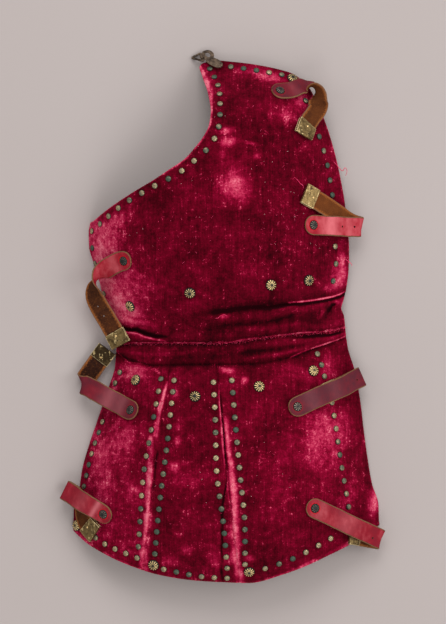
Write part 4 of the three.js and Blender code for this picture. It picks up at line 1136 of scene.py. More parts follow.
# %% [markdown]
# Old brass is bright only where it is rubbed. So one number, "rubbed", adds up what is high on a head and
# some noise, and the colour and the shine both follow it. The four alloys are one recipe with other colours.
# The rim of every head is darkened as a painted shadow.

# %% Brass and bronze
PAINTED_RIM_SHADOW = srgb(24, 26, 20)


def old_brass(name, bright, dull, green, gleam, spokes=0.6, uneven=1.0):
    """Struck brass: bright where it is rubbed, on petals and crowns, dull green in its grooves, and a painted
    shadow at its rim.
    """
    finish = Finish(name, roughness=0.42, metallic=0.85)
    petal, crown, tone = (finish.attribute(key) for key in ("petal", "crown", "tone"))
    fine, broad = finish.noise(1500, detail=3), finish.noise(260, detail=3, shift=2)
    rubbed = petal * spokes + crown * 0.2 + ((fine - 0.5) + (broad - 0.5) * 1.2) * uneven + (tone - 0.5) * 0.6
    shade = finish.mix(finish.step(broad + (tone - 0.5) * 0.6, 0.35, 0.65), green, dull)
    shade = finish.mix(finish.step(rubbed, gleam, gleam + 0.42), shade, bright)
    # A painted shadow: the colour darkens towards the rim, where the head meets what it sits on.
    finish.colour(finish.mix(finish.step(crown, 0.0, 0.2), PAINTED_RIM_SHADOW, shade))
    finish.roughness(0.34 + fine * 0.3)
    finish.metallic(finish.step(rubbed, gleam - 0.4, gleam + 0.3) * 0.6 + 0.3)
    finish.bump(fine * 0.6 + broad * 0.6, 0.25 * MM, 0.5)
    return finish


rivet_brass = old_brass(
    "rivet_brass", srgb(214, 190, 144), srgb(124, 116, 92), srgb(58, 74, 60), gleam=0.46)
rosette_brass = old_brass(
    "rosette_brass", srgb(255, 224, 160), srgb(44, 38, 28), srgb(18, 20, 16), 0.66, spokes=1.5, uneven=0.4)
strap_bronze = old_brass(
    "strap_bronze", srgb(150, 136, 122), srgb(30, 25, 25), srgb(18, 20, 18), 0.85, spokes=1.4, uneven=0.4)
pin_brass = old_brass("pin_brass", srgb(250, 214, 150), srgb(196, 156, 96), srgb(120, 98, 60), gleam=0.2)
print("brass:", len(rivet_brass.tree.nodes), "nodes")

# %% [markdown]
# The small rivets are one piece for each panel of velvet. A rosette stands for a solid of its own, so each
# stays a piece.

# %% Small rivets and rosettes
for panel, spots in rivets.items():
    feet, facings = on_velvet(*np.array(spots).T)
    piece = heads("rivets_" + panel, feet, facings, rivet_brass, *HEADS["rivet"])
    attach(piece, BODY)

for number, (x, y) in enumerate(ROSETTES, 1):
    feet, facings = on_velvet(x, y, 0.3 * MM)
    piece = heads(f"rosette_head_{number}", feet, facings, rosette_brass, *HEADS["rosette"])
    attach(piece, BODY)
    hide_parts(f"rosette_{number}")
print("heads:", len(all_rivets), "small and", len(ROSETTES), "rosettes")

# %% [markdown]
# ## Straps
# Each strap was buckled to the other half. It is cut from thin red leather, rounded at its riveted end and
# closed with folded brass at the other. A cloth simulation would let it fall somewhere, and this strap has to
# fall just so. Therefore it is a ribbon through a few stations: a place and the direction across it. Nearly
# all are the stations of its solid. Where leather leaves the velvet's edge, some make a smoother curve.

# %% Stations
STRAP = {"width": 21.5 * MM, "thick": 2.0 * MM}
TIP = {"length": 15 * MM, "sheet": 0.7 * MM}


def at(x, y, z, azimuth, pitch=0):
    """A station in the air. "azimuth" turns the direction across it from +X, and "pitch" lifts it."""
    a, p = math.radians(azimuth), math.radians(pitch)
    across_it = np.array([math.cos(p) * math.cos(a), math.cos(p) * math.sin(a), math.sin(p)])
    return np.array([x, y, z]) * MM, across_it


def on(x, y, azimuth, rise=0):
    """A station that lies on the velvet, or "rise" above it."""
    x, y, a = x * MM, y * MM, math.radians(azimuth)
    normal = normals_of(form_height, x, y)
    across_it = np.array([math.cos(a), math.sin(a), 0])
    across_it[2] = -(across_it @ normal) / normal[2]
    clear = STRAP["thick"] / 2 + 1.5 * GAP + rise * MM
    return np.array([x, y, float(cloth_height(x, y))]) + normal * clear, unit(across_it)


print("a strap at the shoulder starts at", np.round(on(54, 240, 92)[0], 3))

# %% [markdown]
# The table of the straps. A strap has its own brightness, because each has met other hands and another light.

# %% Table of the straps
# Columns: distance of the rivet from the end in millimetres, brightness of the grain side, of the flesh side
# and of the brass end from 0 to 1, holes as (distance from the riveted end, distance from the middle), and
# the stations.
STRAPS = {
    "shoulder": (9, 0.2, 0.5, 0.35, [], [
        on(54, 240, 92), on(63.5, 240, 90), on(74, 241, 88, 0.5), on(84, 243.8, 84, 3),
        at(91.5, 246.5, 21, 80, -38), at(97.5, 246.5, 22, 85, -80), at(103, 242, 23, 215, -52),
        at(104.8, 236, 24.5, 200, -38), at(104, 229.5, 27, 188, -32), on(100.5, 221.5, 172, 4),
        on(95.8, 213.5, 162, 2.6), on(90.5, 205, 154, 2), on(88.3, 199, 152, 2), on(86.2, 193, 152, 2),
    ]),
    "chest_front": (10, 1.0, 0.8, 0.65, [(45.1, -0.3), (60.2, 0.1)], [
        on(89, 97.5, 90), on(99.5, 97.5, 90), on(112, 96.8, 88, 3), on(124, 96.2, 86, 4.5),
        at(135, 96, 22, 85), at(145, 95.8, 21, 82), at(150, 96, 18.4, 80), at(145, 97.5, 15.8, 76),
        at(136, 101.5, 16.5, 70, -4),
        on(126.5, 107.5, 64, 1), on(114, 115.5, 61, 1.8), on(103.5, 122, 61, 2), on(87.6, 131.3, 61, 2),
    ]),
    "chest_side": (9.5, 0.85, 0.2, 0.35, [(83.1, 1.1), (95.2, 0.8)], [
        on(-95, 57.5, 290), on(-104, 59.5, 292), at(-117.6, 54, 36, 298, 2),
        at(-127.8, 46.8, 28.4, 302, -28),
        at(-133.4, 39.6, 25, 308, -76), at(-135.6, 33, 22.5, 198, -56), at(-135.8, 22.5, 19, 188, -26),
        at(-131.2, 11.8, 17.5, 198, -14), at(-123, -2, 19, 205, -10), at(-113.4, -18.7, 21, 208, -12),
        at(-107.3, -30, 21.5, 209, -14),
    ]),
    "waist_side": (9.5, 0.2, 0.0, -0.1, [], [
        on(-88.5, -102.5, 243), on(-97.5, -99.5, 243), on(-108, -93.6, 243, 1.5),
        at(-121.5, -87, 25.6, 245, -4),
        at(-132.7, -80.6, 23, 246, 2), at(-142.5, -75.3, 18, 254, 2), at(-148.7, -72.4, 14, 272),
        at(-146.5, -68.6, 9.6, 296), at(-141, -61, 7.6, 316), at(-134, -51, 7, 322), at(-128, -43, 6.6, 322),
        at(-122.4, -35.4, 6.4, 322),
    ]),
    "skirt_side": (10, 0.6, 0.4, 0.4, [], [
        on(-116.4, -215, 240), on(-125.5, -209.5, 240, 2), at(-134.5, -205.8, 36.4, 240, -18),
        at(-143, -201, 36, 240, -10), at(-152, -195.8, 30, 240, -6), at(-160.5, -190, 19, 241, -4),
        at(-167.6, -186, 12.6, 243), at(-164.5, -187.5, 7.4, 246), at(-157, -192, 9, 250, -8),
        at(-150, -202, 16, 242, -30), on(-146.2, -211.6, 234, 2), on(-143.4, -219.6, 228, 2.2),
        on(-138.5, -226.3, 227, 2.2), on(-133, -232, 227, 2.2),
    ]),
    "waist_front": (10, 0.08, 0.4, 0.5, [(87.9, -0.9)], [
        on(72, -99.5, 110), on(81.5, -96, 112), on(91, -91.5, 114, 2), on(101, -86.7, 115, 4.4),
        on(114, -81, 114, 6.2), on(128.4, -74.8, 114, 6.2), at(141, -69.2, 23, 114),
        at(148.5, -65.6, 17.5, 114), at(150.8, -64.4, 14.4, 114), at(147.5, -65.9, 12.4, 114),
        on(139.5, -69.6, 114, 0.6), on(128.4, -74.8, 114, 1.4), on(119, -79, 114, 1.8),
        on(110, -83, 114, 1.8),
    ]),
    "skirt_front": (10, 0.64, 0.4, 0.4, [(87.2, -2.6)], [
        on(91, -200.2, 62), on(100, -204.5, 62), on(112, -210.4, 63, 2), at(127, -217.3, 41.8, 63, -8),
        at(139, -223.3, 37.4, 63, -3), at(148.5, -227.8, 32.6, 63, 2), at(158, -232.2, 25, 64, 2),
        at(166, -236.2, 18.5, 66), at(170.8, -238.8, 14, 69), at(166, -238.8, 10.5, 74, 6),
        at(158, -237.2, 14, 80, 12),
        at(150, -235.2, 21.5, 86, 12), on(143, -233.6, 88, 3), on(135.8, -232.6, 88, 3),
    ]),
}
# Pale bands on the grain: painted sheen where the strap bends, and rubbed wear. Columns: distance from the
# riveted end, half width, strength.
SHEEN_AND_WEAR_BANDS = {
    "shoulder": [(26, 5, 0.2)],
    "chest_front": [(31, 9, 0.85), (55, 5, 0.4)],
    "chest_side": [(24, 5, 0.3)],
    "waist_side": [(24, 7, 0.55), (41, 9, 0.6)],
    "skirt_side": [(21, 2.6, 0.9), (38, 8, 0.2)],
    "waist_front": [(28, 9, 0.35), (58, 9, 0.25)],
    "skirt_front": [(17, 5, 0.3), (50, 12, 0.3)],
}


print("straps:", len(STRAPS), "with", sum(len(row[-1]) for row in STRAPS.values()), "stations")

# %% [markdown]
# Between its stations a strap needs a full frame at every millimetre: where it is, which way it runs, which
# way is across and which is up. The frames are then lifted wherever the velvet would come through.

# %% Frames along a strap
STEP = 1.0 * MM
TWIST_REACH = 8 * MM  # a twist is spread over about this length
ACROSS_SAMPLES = 9
LIFT_WINDOW = 4  # frames on each side that rise together
STEEPEST = 0.4  # the least upward share of a normal that the lift reckons with


def over_cloth(x, y, rim=2 * MM):
    """Whether points of the plan are over the velvet."""
    inside = (x > left_x(y) - rim) & (x < front_x(y) + rim)
    return inside & (y < shoulder_y(x) + rim) & (y > hem_y(x) - rim)


def lift_needed(place, side):
    """How far each point of a strap's middle has to rise to clear the velvet from edge to edge."""
    shares = np.linspace(-0.5, 0.5, ACROSS_SAMPLES)
    spots = place[:, None] + side[:, None] * (shares * STRAP["width"])[:, None]
    x, y, z = spots[..., 0], spots[..., 1], spots[..., 2]
    steep = np.maximum(normals_of(form_height, x, y)[..., 2], STEEPEST)
    top = np.maximum(cloth_height(x, y), velvet_height(x, y))
    need = np.where(over_cloth(x, y), top + (STRAP["thick"] / 2 + 1.3 * GAP) / steep - z, 0).max(axis=1)
    span = 2 * LIFT_WINDOW + 1
    padded = np.pad(np.maximum(need, 0), LIFT_WINDOW, mode="edge")
    widest = np.array([padded[k:k + span].max() for k in range(len(need))])
    padded = np.pad(widest, LIFT_WINDOW, mode="edge")
    return np.array([padded[k:k + span].mean() for k in range(len(need))])


def smoothed(values, distance, reach):
    """Directions along a strap, each averaged with its neighbours."""
    share = np.exp(-(((distance[:, None] - distance) / reach) ** 2))
    return unit(share @ values)


def squared(place, side):
    """Directions along a strap, and its sides turned square to them."""
    along = unit(np.gradient(place, axis=0))
    return along, unit(side - along * np.sum(side * along, axis=1, keepdims=True))


def strap_frames(stations):
    """Places, directions along, across and up at even distances from the riveted end."""
    places, sides = zip(*stations)
    t = np.linspace(0, len(places) - 1, 40 * len(places))
    rough = np.array([catmull(places, k) for k in t])
    run = np.concatenate([[0], np.cumsum(np.linalg.norm(np.diff(rough, axis=0), axis=1))])
    distance = np.linspace(0, run[-1], round(run[-1] / STEP) + 1)
    stops = np.interp(distance, run, t)
    place = np.array([catmull(places, k) for k in stops])
    side = smoothed(np.array([catmull(sides, k, 0) for k in stops]), distance, TWIST_REACH)
    for _ in range(2):
        _, side = squared(place, side)
        place[:, 2] += lift_needed(place, side)
    along, side = squared(place, side)
    return distance, place, along, side, np.cross(along, side)


def frames_at(frames, wanted):
    """The frames at other distances."""
    distance, *columns = frames
    found = [np.stack([np.interp(wanted, distance, c[:, k]) for k in range(3)], axis=-1) for c in columns]
    return [wanted, found[0], *(unit(c) for c in found[1:])]


frames_of = {name: strap_frames(row[-1]) for name, row in STRAPS.items()}
for name, frames in frames_of.items():
    print("strap", name, "is", round(frames[0][-1] / MM, 1), "mm long")

# %% [markdown]
# ## Leather and sheet brass
# The grain side was dyed red and has faded in clouds. Its material mixes a dark and a light red by the
# strap's own brightness, lays pale bands over that, partly rubbed wear and partly painted sheen, and keeps
# the red that the rivet's head has covered. The flesh side is brown and fibrous, and a cut edge shows both.

# %% Grain side of the leather
FRESH_RED = srgb(196, 14, 34)  # the dye under and round the rivet
WORN_EDGE = srgb(70, 36, 26)


def old_leather(name, dark, light, grey, rubbed, bumps):
    """Leather whose brightness is its strap's own, with clouds, pale bands of wear and painted sheen, and a
    dark brown edge.
    """
    finish = Finish(name, roughness=0.55, Specular_IOR_Level=0.12)
    tone, edge, ring, pale = (finish.attribute(key) for key in ("tone", "edge", "ring", "pale"))
    broad, fine = finish.noise(75, detail=4), finish.noise(1100, detail=3, shift=5)
    streaks = finish.noise(240, detail=4, stretch=(1, 0.35, 0.35), shift=9)
    faded = finish.mix(tone, grey, rubbed)
    clouds = finish.step(broad * 0.55 + streaks * 0.45 + tone * 0.25, 0.62, 0.98) * 0.55
    cracks = finish.step(fine * 0.55 + streaks * 0.45, 0.56, 0.70) * 0.4
    shade = finish.mix(tone + (broad - 0.5) * 0.9 + (streaks - 0.5) * 0.3, dark, light)
    shade = finish.mix(clouds, shade, faded)
    shade = finish.mix(cracks, shade, dark)
    # The pale bands are partly rubbed wear and partly painted sheen where the strap bends.
    shade = finish.mix(pale * (0.35 + streaks * 0.6 + broad * 0.6), shade, faded)
    shade = finish.mix(ring, shade, FRESH_RED)
    finish.colour(finish.mix(finish.step(edge + (fine - 0.5) * 0.14, 0.95, 1.0), shade, WORN_EDGE))
    finish.roughness(0.46 + streaks * 0.22)
    finish.bump(fine * 0.5 + streaks * 0.5, bumps, 0.6)
    return finish


# The "rubbed" colour also paints the sheen of the pale bands.
grain_side = old_leather(
    "leather_grain", dark=srgb(84, 28, 40), light=srgb(160, 18, 38), grey=srgb(124, 72, 80),
    rubbed=srgb(216, 108, 116), bumps=0.18 * MM)
print("leather:", len(grain_side.tree.nodes), "nodes")

# %% Flesh side and cut edge
flesh_side = Finish("leather_flesh", roughness=0.9, Specular_IOR_Level=0.1)
fibre = flesh_side.noise(700, detail=5, roughness=0.7)
flesh_broad = flesh_side.noise(110, detail=4, shift=4)
flesh_tone, flesh_edge = flesh_side.attribute("flesh_tone"), flesh_side.attribute("edge")
flesh_shade = flesh_side.mix(flesh_tone + (flesh_broad - 0.5) * 0.8, srgb(42, 20, 13), srgb(112, 60, 26))
flesh_shade = flesh_side.mix(flesh_side.step(fibre, 0.52, 0.72) * 0.4, flesh_shade, srgb(146, 86, 38))
fray_edge = flesh_side.step(flesh_edge + (fibre - 0.5) * 0.7, 0.72, 1.0)
flesh_side.colour(flesh_side.mix(fray_edge * 0.7, flesh_shade, srgb(158, 92, 44)))
flesh_side.bump(fibre, 0.5 * MM, 0.8)

cut_edge = Finish("leather_edge", roughness=0.7)
edge_noise = cut_edge.noise(500, detail=4)
cut_edge.colour(cut_edge.mix(edge_noise, srgb(66, 40, 24), srgb(146, 96, 54)))
cut_edge.bump(edge_noise, 0.25 * MM, 0.6)
print("flesh side:", len(flesh_side.tree.nodes), "nodes")

# %% [markdown]
# The strap ends are thin sheet, beaten flat and never polished again. Scratches in two directions lie over
# brown tarnish, and the edge, which hands touch most, is bright.

# %% Sheet brass
SCRATCH_BRIGHT, EDGE_BRIGHT = srgb(222, 196, 140), srgb(222, 202, 152)
TARNISH_DARK = srgb(42, 34, 26)

strip_brass = Finish("strip_brass", roughness=0.4, metallic=0.9)
down = strip_brass.noise(300, detail=5, stretch=(0.3, 1.6, 1), shift=1)
over = strip_brass.noise(300, detail=5, stretch=(1.6, 0.3, 1), shift=6)
tarnish = strip_brass.noise(150, detail=5, roughness=0.65, shift=2)
brass_edge, brass_tone = strip_brass.attribute("edge"), strip_brass.attribute("tone")
stained = strip_brass.step(tarnish * 0.6 + down * 0.4, 0.53, 0.63) * 0.85
scratched = strip_brass.step(over * 0.6 + down * 0.4, 0.55, 0.62) * 0.75
touched = strip_brass.step(brass_edge + (down - 0.5) * 0.5, 0.86, 1.02) * 0.75
brass_shade = strip_brass.mix(brass_tone + (tarnish - 0.5) * 2.2, srgb(58, 44, 26), srgb(168, 140, 90))
brass_shade = strip_brass.mix(stained, brass_shade, TARNISH_DARK)
brass_shade = strip_brass.mix(scratched, brass_shade, SCRATCH_BRIGHT)
strip_brass.colour(strip_brass.mix(touched, brass_shade, EDGE_BRIGHT))
strip_brass.roughness(0.3 + tarnish * 0.35)
strip_brass.bump(down * 0.5 + over * 0.5 + tarnish * 0.6, 0.3 * MM, 0.6)
print("sheet brass:", len(strip_brass.tree.nodes), "nodes")

# %% [markdown]
# A strap is a rolled shell over two ribbons, one for each side of the leather. Its marks tell the material
# how near a point is to the edge, to the rivet and to a pale band of wear and painted sheen. Holes are
# punched last, as in leather.

# %% The leather of a strap
LEATHER_COLUMNS = 19
END_ROWS, END_START = 12, 0.22  # rows of the round end, and the angle of the first one
TIP_CLEAR = 0.4 * MM  # the leather ends this far inside the fold of its brass
CUT_WOBBLE = 0.012  # how unevenly the sides were cut
PUNCH = {"radius": 0.85 * MM, "depth": 8 * MM, "sides": 12}
RING = (5.6 * MM, 6.6 * MM)  # the bright ring round the rivet fades out between these radii


def ribbon(frames, half, lift, columns):
    """A grid over a strap. Its columns run so that the lifted face is the outer one."""
    _, place, _, side, grain = frames
    share = np.sin(np.linspace(math.pi / 2, -math.pi / 2, columns)) * 0.4 + np.linspace(1, -1, columns) * 0.6
    return place[:, None] + side[:, None] * (share * half[:, None])[..., None] + grain[:, None] * lift, share


def sheen_and_wear_bands(name, distance):
    """How pale the grain is at distances from the riveted end, from wear and painted sheen."""
    total = np.zeros(len(distance))
    for middle, width, strength in SHEEN_AND_WEAR_BANDS[name]:
        total += strength * np.exp(-(((distance / MM - middle) / width) ** 2))
    return total


def punch(piece, place, direction):
    """Cuts a round hole through a piece."""
    bpy.ops.mesh.primitive_cylinder_add(
        vertices=PUNCH["sides"], radius=PUNCH["radius"], depth=PUNCH["depth"], location=place)
    cutter = bpy.context.object
    cutter.rotation_mode = "QUATERNION"
    cutter.rotation_quaternion = mathutils.Vector(direction).to_track_quat("Z", "Y")
    cutter.data.materials.append(cut_edge.material)
    bpy.context.view_layer.update()
    cut = piece.modifiers.new("hole", "BOOLEAN")
    cut.object, cut.operation, cut.solver = cutter, "DIFFERENCE", "EXACT"
    cut.material_mode = "TRANSFER"
    finished = bpy.data.meshes.new_from_object(piece.evaluated_get(bpy.context.evaluated_depsgraph_get()))
    piece.modifiers.clear()
    old, piece.data = piece.data, finished
    bpy.data.meshes.remove(old)
    bpy.data.objects.remove(cutter)


def leather_strap(name, rivet, tone, flesh, holes, frames):
    """The leather of one strap, with its round end, its marks and its holes."""
    radius, lift = STRAP["width"] / 2, STRAP["thick"] / 2
    round_end = radius * (1 - np.cos(np.linspace(END_START, math.pi / 2, END_ROWS)))
    rest = frames[0][(frames[0] > 1.02 * radius) & (frames[0] < frames[0][-1] - TIP_CLEAR)]
    distance = np.concatenate([round_end, rest])
    frames = frames_at(frames, distance)
    reach = np.clip(distance / radius, 0, 1)
    ragged = 1 + CUT_WOBBLE * waves(distance, 0 * distance, 14 * MM, 4 * MM, round(100 * rivet / MM))
    half = (radius - lift) * np.sqrt(1 - (1 - reach) ** 2) * ragged
    grain_face, share = ribbon(frames, half, lift, LEATHER_COLUMNS)
    flesh_face, _ = ribbon(frames, half, -lift, LEATHER_COLUMNS)

    everywhere = np.ones(grain_face.shape[:2])
    sideways = np.abs(share) * everywhere
    to_end = np.hypot(1 - reach[:, None], sideways * half[:, None] / radius)
    edge = np.where(reach[:, None] < 1, np.maximum(to_end, 0), sideways)
    far = np.hypot(distance[:, None] - rivet, share * half[:, None])
    marks = {
        "tone": tone * everywhere,
        "flesh_tone": flesh * everywhere,
        "edge": edge,
        "pale": sheen_and_wear_bands(name, distance)[:, None] * everywhere,
        "ring": (1 - smoothstep(far, *RING)) * (0.25 + 0.7 * smoothstep(tone, 0.3, 0.55)),
    }
    finishes = [grain_side, flesh_side, cut_edge]
    piece = rolled_shell("strap_leather_" + name, grain_face, flesh_face, finishes, marks)
    for from_end, off in holes:
        _, place, _, side, grain = frames_at(frames, np.array([from_end * MM]))
        punch(piece, place[0] + side[0] * off * MM - PATTERN_MIDDLE, grain[0])
    return piece


print("holes:", sum(len(row[4]) for row in STRAPS.values()))

# %% [markdown]
# A strap end is a strip of sheet folded over the leather. Its middle runs along the grain side, round the
# end and back along the flesh side. Hammer marks and one scribed line are height over that.

# %% The brass of a strap
BRASS_ROWS, BEND_ROWS, BRASS_COLUMNS = 36, 9, 23
FOLD_BOW = 0.65 * MM
HAMMER = {"rise": 0.14 * MM, "longest": 7 * MM, "shortest": 3 * MM}
SCRIBED = {"depth": 0.16 * MM, "from_edge": 1.5 * MM, "width": 0.4 * MM}
BRASS_BORDER = 1.6 * MM


def brass_end(name, tone, frames):
    """A strip of sheet folded over the end of the leather."""
    length, reach = frames[0][-1], np.linspace(TIP["length"], 0, BRASS_ROWS)
    _, place, along, side, grain = frames_at(frames, length - reach)
    lift = STRAP["thick"] / 2 + GAP + TIP["sheet"] / 2
    fold = np.linspace(0, math.pi, BEND_ROWS)[1:-1, None]
    facing = unit(np.concatenate([grain, np.cos(fold) * grain[-1] + np.sin(fold) * along[-1], -grain[::-1]]))
    bow = place[-1] + FOLD_BOW * np.sin(fold) * along[-1]
    middle = np.concatenate([place, bow, place[::-1]])
    outward = np.concatenate([grain, np.cos(fold) * grain[-1], -grain[::-1]]) * lift
    across_it = np.concatenate([side, np.tile(side[-1], (len(fold), 1)), side[::-1]])
    run = np.concatenate([reach, 0 * fold[:, 0], reach[::-1]])
    share = np.linspace(1, -1, BRASS_COLUMNS)
    half = STRAP["width"] / 2 + GAP - TIP["sheet"] / 2
    sheet = middle[:, None] + across_it[:, None] * (share * half)[:, None] + outward[:, None]

    u, w = run[:, None] + 0 * share, share * half + 0 * run[:, None]
    hammered = HAMMER["rise"] * waves(u, w, HAMMER["longest"], HAMMER["shortest"], len(name) + 20)
    scribed = (u - TIP["length"] + SCRIBED["from_edge"]) / SCRIBED["width"]
    soft = smoothstep(np.minimum(u, half - np.abs(w)), 0, 1.2 * MM)
    relief = (hammered * soft - SCRIBED["depth"] * np.exp(-(scribed**2)))[..., None] * facing[:, None]
    to_edge = np.minimum(np.minimum(half - np.abs(w), TIP["length"] - u), u + 0.3 * MM)
    border = 1 - np.clip(to_edge / BRASS_BORDER, 0, 1)
    marks = {"edge": border, "tone": np.full(border.shape, tone)}
    half_sheet = facing[:, None] * TIP["sheet"] / 2
    outer, inner = sheet + half_sheet + relief, sheet - half_sheet
    return rolled_shell("tip_brass_" + name, outer, inner, [strip_brass] * 3, marks)


print("a strap end is", round(TIP["length"] / MM), "mm long")

# %% [markdown]
# All that is left is to run the table. Each strap also gets the head of its rivet, and each brass end a pin
# on both faces.

# %% Making the straps
PIN_FROM_EDGE = 4.5 * MM

pins = {"feet": [], "facings": []}
for name, (rivet, tone, flesh, brass, holes, _) in STRAPS.items():
    frames = frames_of[name]
    leather = leather_strap(name, rivet * MM, tone, flesh, holes, frames)
    tip = brass_end(name, brass, frames)
    _, place, _, _, grain = frames_at(frames, np.array([rivet * MM]))
    foot = place + grain * STRAP["thick"] / 2
    head = heads("strap_head_" + name, foot, grain, strap_bronze, *HEADS["strap_rivet"])
    _, place, _, _, grain = frames_at(frames, frames[0][-1:] - TIP["length"] + PIN_FROM_EDGE)
    for sign in (1, -1):
        pins["feet"].append(place[0] + sign * grain[0] * (STRAP["thick"] / 2 + GAP + TIP["sheet"]))
        pins["facings"].append(sign * grain[0])
    for piece, node, slot in ((leather, "strap_", "strap_leather"), (tip, "tip_", "tip_brass"),
                              (head, "strap_rivet_", "strap_rivet_metal")):
        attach(piece, BODY)
        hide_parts(node + name)
    print("strap", name, "has", len(leather.data.polygons), "faces")
pin_heads = heads("tip_pins", pins["feet"], pins["facings"], pin_brass, *HEADS["pin"])
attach(pin_heads, BODY)

# %% [markdown]
# ## Shoulder clasp
# A forged plate with an eye, rolled round the bar of a wire ring. Its outline is smoothed through the
# solid's corners. The ring turns on its bar, so it rides on a body of its own, and both are drawn flat,
# with the bar at the origin, before they are turned into place together.

# %% Sizes of the clasp
CLASP = {"thick": 1.5 * MM, "bevel": 0.35 * MM, "barrel": 2.4 * MM, "bore": 1.55 * MM, "length": 5.4 * MM}
CLASP_BAR, CLASP_AZIMUTH = table([-20.3, 278.4, 6.4]), math.radians(111)
CLASP_LIES_ON = table([-2, 268])
CLASP_OUTLINE = table([
    [1.2, -4.2], [2.2, -9.6], [4.6, -14.6], [7.4, -18.6], [11.1, -22], [15.2, -22.2], [17.6, -19.6],
    [17.2, -15.4], [14.6, -10.4], [11.4, -6.6], [12.8, -2.6], [12.1, 1.4], [9.4, 5.2], [5, 6.2], [1.2, 4.4],
])
CLASP_EYE = {"middle": table([6.3, -0.6]), "across": 2.5 * MM, "along": 3.7 * MM, "turn": math.radians(12)}
WIRE = {"radius": 1.15 * MM, "sides": 14, "bend": 1.9 * MM, "steps": 9, "wobble": 0.05}
RING_CORNERS = table([[0, -6], [0, 6], [-11, 5.4]])
RING_DROP = math.radians(16)

facing = normals_of(form_height, *CLASP_LIES_ON)
bar = np.array([math.cos(CLASP_AZIMUTH), math.sin(CLASP_AZIMUTH), 0])
bar[2] = -(bar @ facing) / facing[2]
bar = unit(bar)


def from_bar(points, turn=0.0):
    """Moves points from the clasp's own directions into the pattern, turned about the bar."""
    up = facing * math.cos(turn) + np.cross(bar, facing) * math.sin(turn)
    return CLASP_BAR + np.asarray(points) @ np.array([np.cross(bar, up), bar, up])


print("the bar points along", np.round(bar, 2))

# %% [markdown]
# Bronze that has lain about is dull brown, with paler high spots and black pits.

# %% Clasp bronze
bronze = Finish("clasp_bronze", roughness=0.5, metallic=0.7)
bronze_broad, bronze_fine = bronze.noise(190, detail=5), bronze.noise(900, detail=4, shift=3)
high_spots, black_pits = bronze.step(bronze_fine, 0.54, 0.7) * 0.5, bronze.step(bronze_fine, 0.36, 0.26) * 0.6
bronze_shade = bronze.mix(bronze.step(bronze_broad, 0.35, 0.65), srgb(52, 40, 32), srgb(112, 94, 78))
bronze_shade = bronze.mix(high_spots, bronze_shade, srgb(168, 146, 124))
bronze.colour(bronze.mix(black_pits, bronze_shade, srgb(34, 30, 26)))
bronze.roughness(0.4 + bronze_fine * 0.3)
bronze.bump(bronze_fine * 0.8 + bronze_broad, 0.4 * MM, 0.6)
print("bronze:", len(bronze.tree.nodes), "nodes")

# %% [markdown]
# The plate is a filled curve with rounded edges, which takes a hole as easily as an outline. The eye round
# the bar is a section turned about it. Both grids of the clasp close on themselves, so one helper gives
# their faces.

# %% Plate of the clasp
OUTLINE_STEP = 0.125
TURN_STEPS, EYE_STEPS = 32, 48
BARREL_EDGE = 0.3 * MM


def closed_faces(rows, columns, order, start=0):
    """Faces of a grid that closes on itself both ways. "order" lists a face's corners."""
    i, k = np.meshgrid(np.arange(rows), np.arange(columns), indexing="ij")
    corners = [(start + (i + a) % rows * columns + (k + b) % columns).ravel() for a, b in order]
    return np.column_stack(corners)


def flat_plate(loops, thick, bevel):
    """A plate in the plane of x and y from its outline and its holes, with rounded edges."""
    curve = bpy.data.curves.new("plate_outline", "CURVE")
    curve.dimensions, curve.fill_mode = "2D", "BOTH"
    curve.extrude, curve.offset = thick / 2 - bevel, -bevel
    curve.bevel_depth, curve.bevel_resolution = bevel, 3
    for loop in loops:
        spline = curve.splines.new("POLY")
        spline.points.add(len(loop) - 1)
        spline.points.foreach_set("co", np.column_stack([loop, 0 * loop[:, 0], 1 + 0 * loop[:, 0]]).ravel())
        spline.use_cyclic_u = True
    shape = bpy.data.objects.new("plate_outline", curve)
    bpy.context.scene.collection.objects.link(shape)
    bpy.context.view_layer.update()
    mesh = bpy.data.meshes.new_from_object(shape.evaluated_get(bpy.context.evaluated_depsgraph_get()))
    points = np.array([vertex.co[:] for vertex in mesh.vertices])
    faces = [list(polygon.vertices) for polygon in mesh.polygons]
    bpy.data.objects.remove(shape)
    return points, faces


closed = np.concatenate([CLASP_OUTLINE[-2:], CLASP_OUTLINE, CLASP_OUTLINE[:2]])
outline = np.array([catmull(closed, t) for t in np.arange(2, len(CLASP_OUTLINE) + 2, OUTLINE_STEP)])
round_turn = np.arange(EYE_STEPS) * 2 * math.pi / EYE_STEPS
eye = np.column_stack([CLASP_EYE["across"] * np.cos(round_turn), CLASP_EYE["along"] * np.sin(round_turn)])
cos_eye, sin_eye = math.cos(CLASP_EYE["turn"]), math.sin(CLASP_EYE["turn"])
eye = CLASP_EYE["middle"] + eye @ np.array([[cos_eye, sin_eye], [-sin_eye, cos_eye]])
plate_points, plate_faces = flat_plate([outline, eye], CLASP["thick"], CLASP["bevel"])
plate_points[:, 2] += CLASP["barrel"] - CLASP["thick"] / 2

bore, radius, half_length = CLASP["bore"], CLASP["barrel"], CLASP["length"] / 2
section = [(bore, -1), (radius - BARREL_EDGE, -1), (radius, -0.88), (radius, 0.88), (radius - BARREL_EDGE, 1),
           (bore, 1)]
turns = np.arange(TURN_STEPS) * 2 * math.pi / TURN_STEPS
barrel = np.array([[[r * math.cos(a), y * half_length, r * math.sin(a)] for r, y in section] for a in turns])
barrel_faces = closed_faces(len(turns), len(section), [(0, 0), (0, 1), (1, 1), (1, 0)], len(plate_points))
clasp = new_mesh(
    "clasp_plate_forged", from_bar(np.concatenate([plate_points, barrel.reshape(-1, 3)])),
    plate_faces + barrel_faces.tolist(), [bronze], smooth=False)
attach(clasp, BODY)
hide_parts("clasp_plate")
print("clasp:", len(clasp.data.polygons), "faces")

# %% [markdown]
# The ring is one bent wire. Its path is straight between corners that are rounded by short curves, and a
# slight change of thickness shows that it was drawn and hammered by hand.

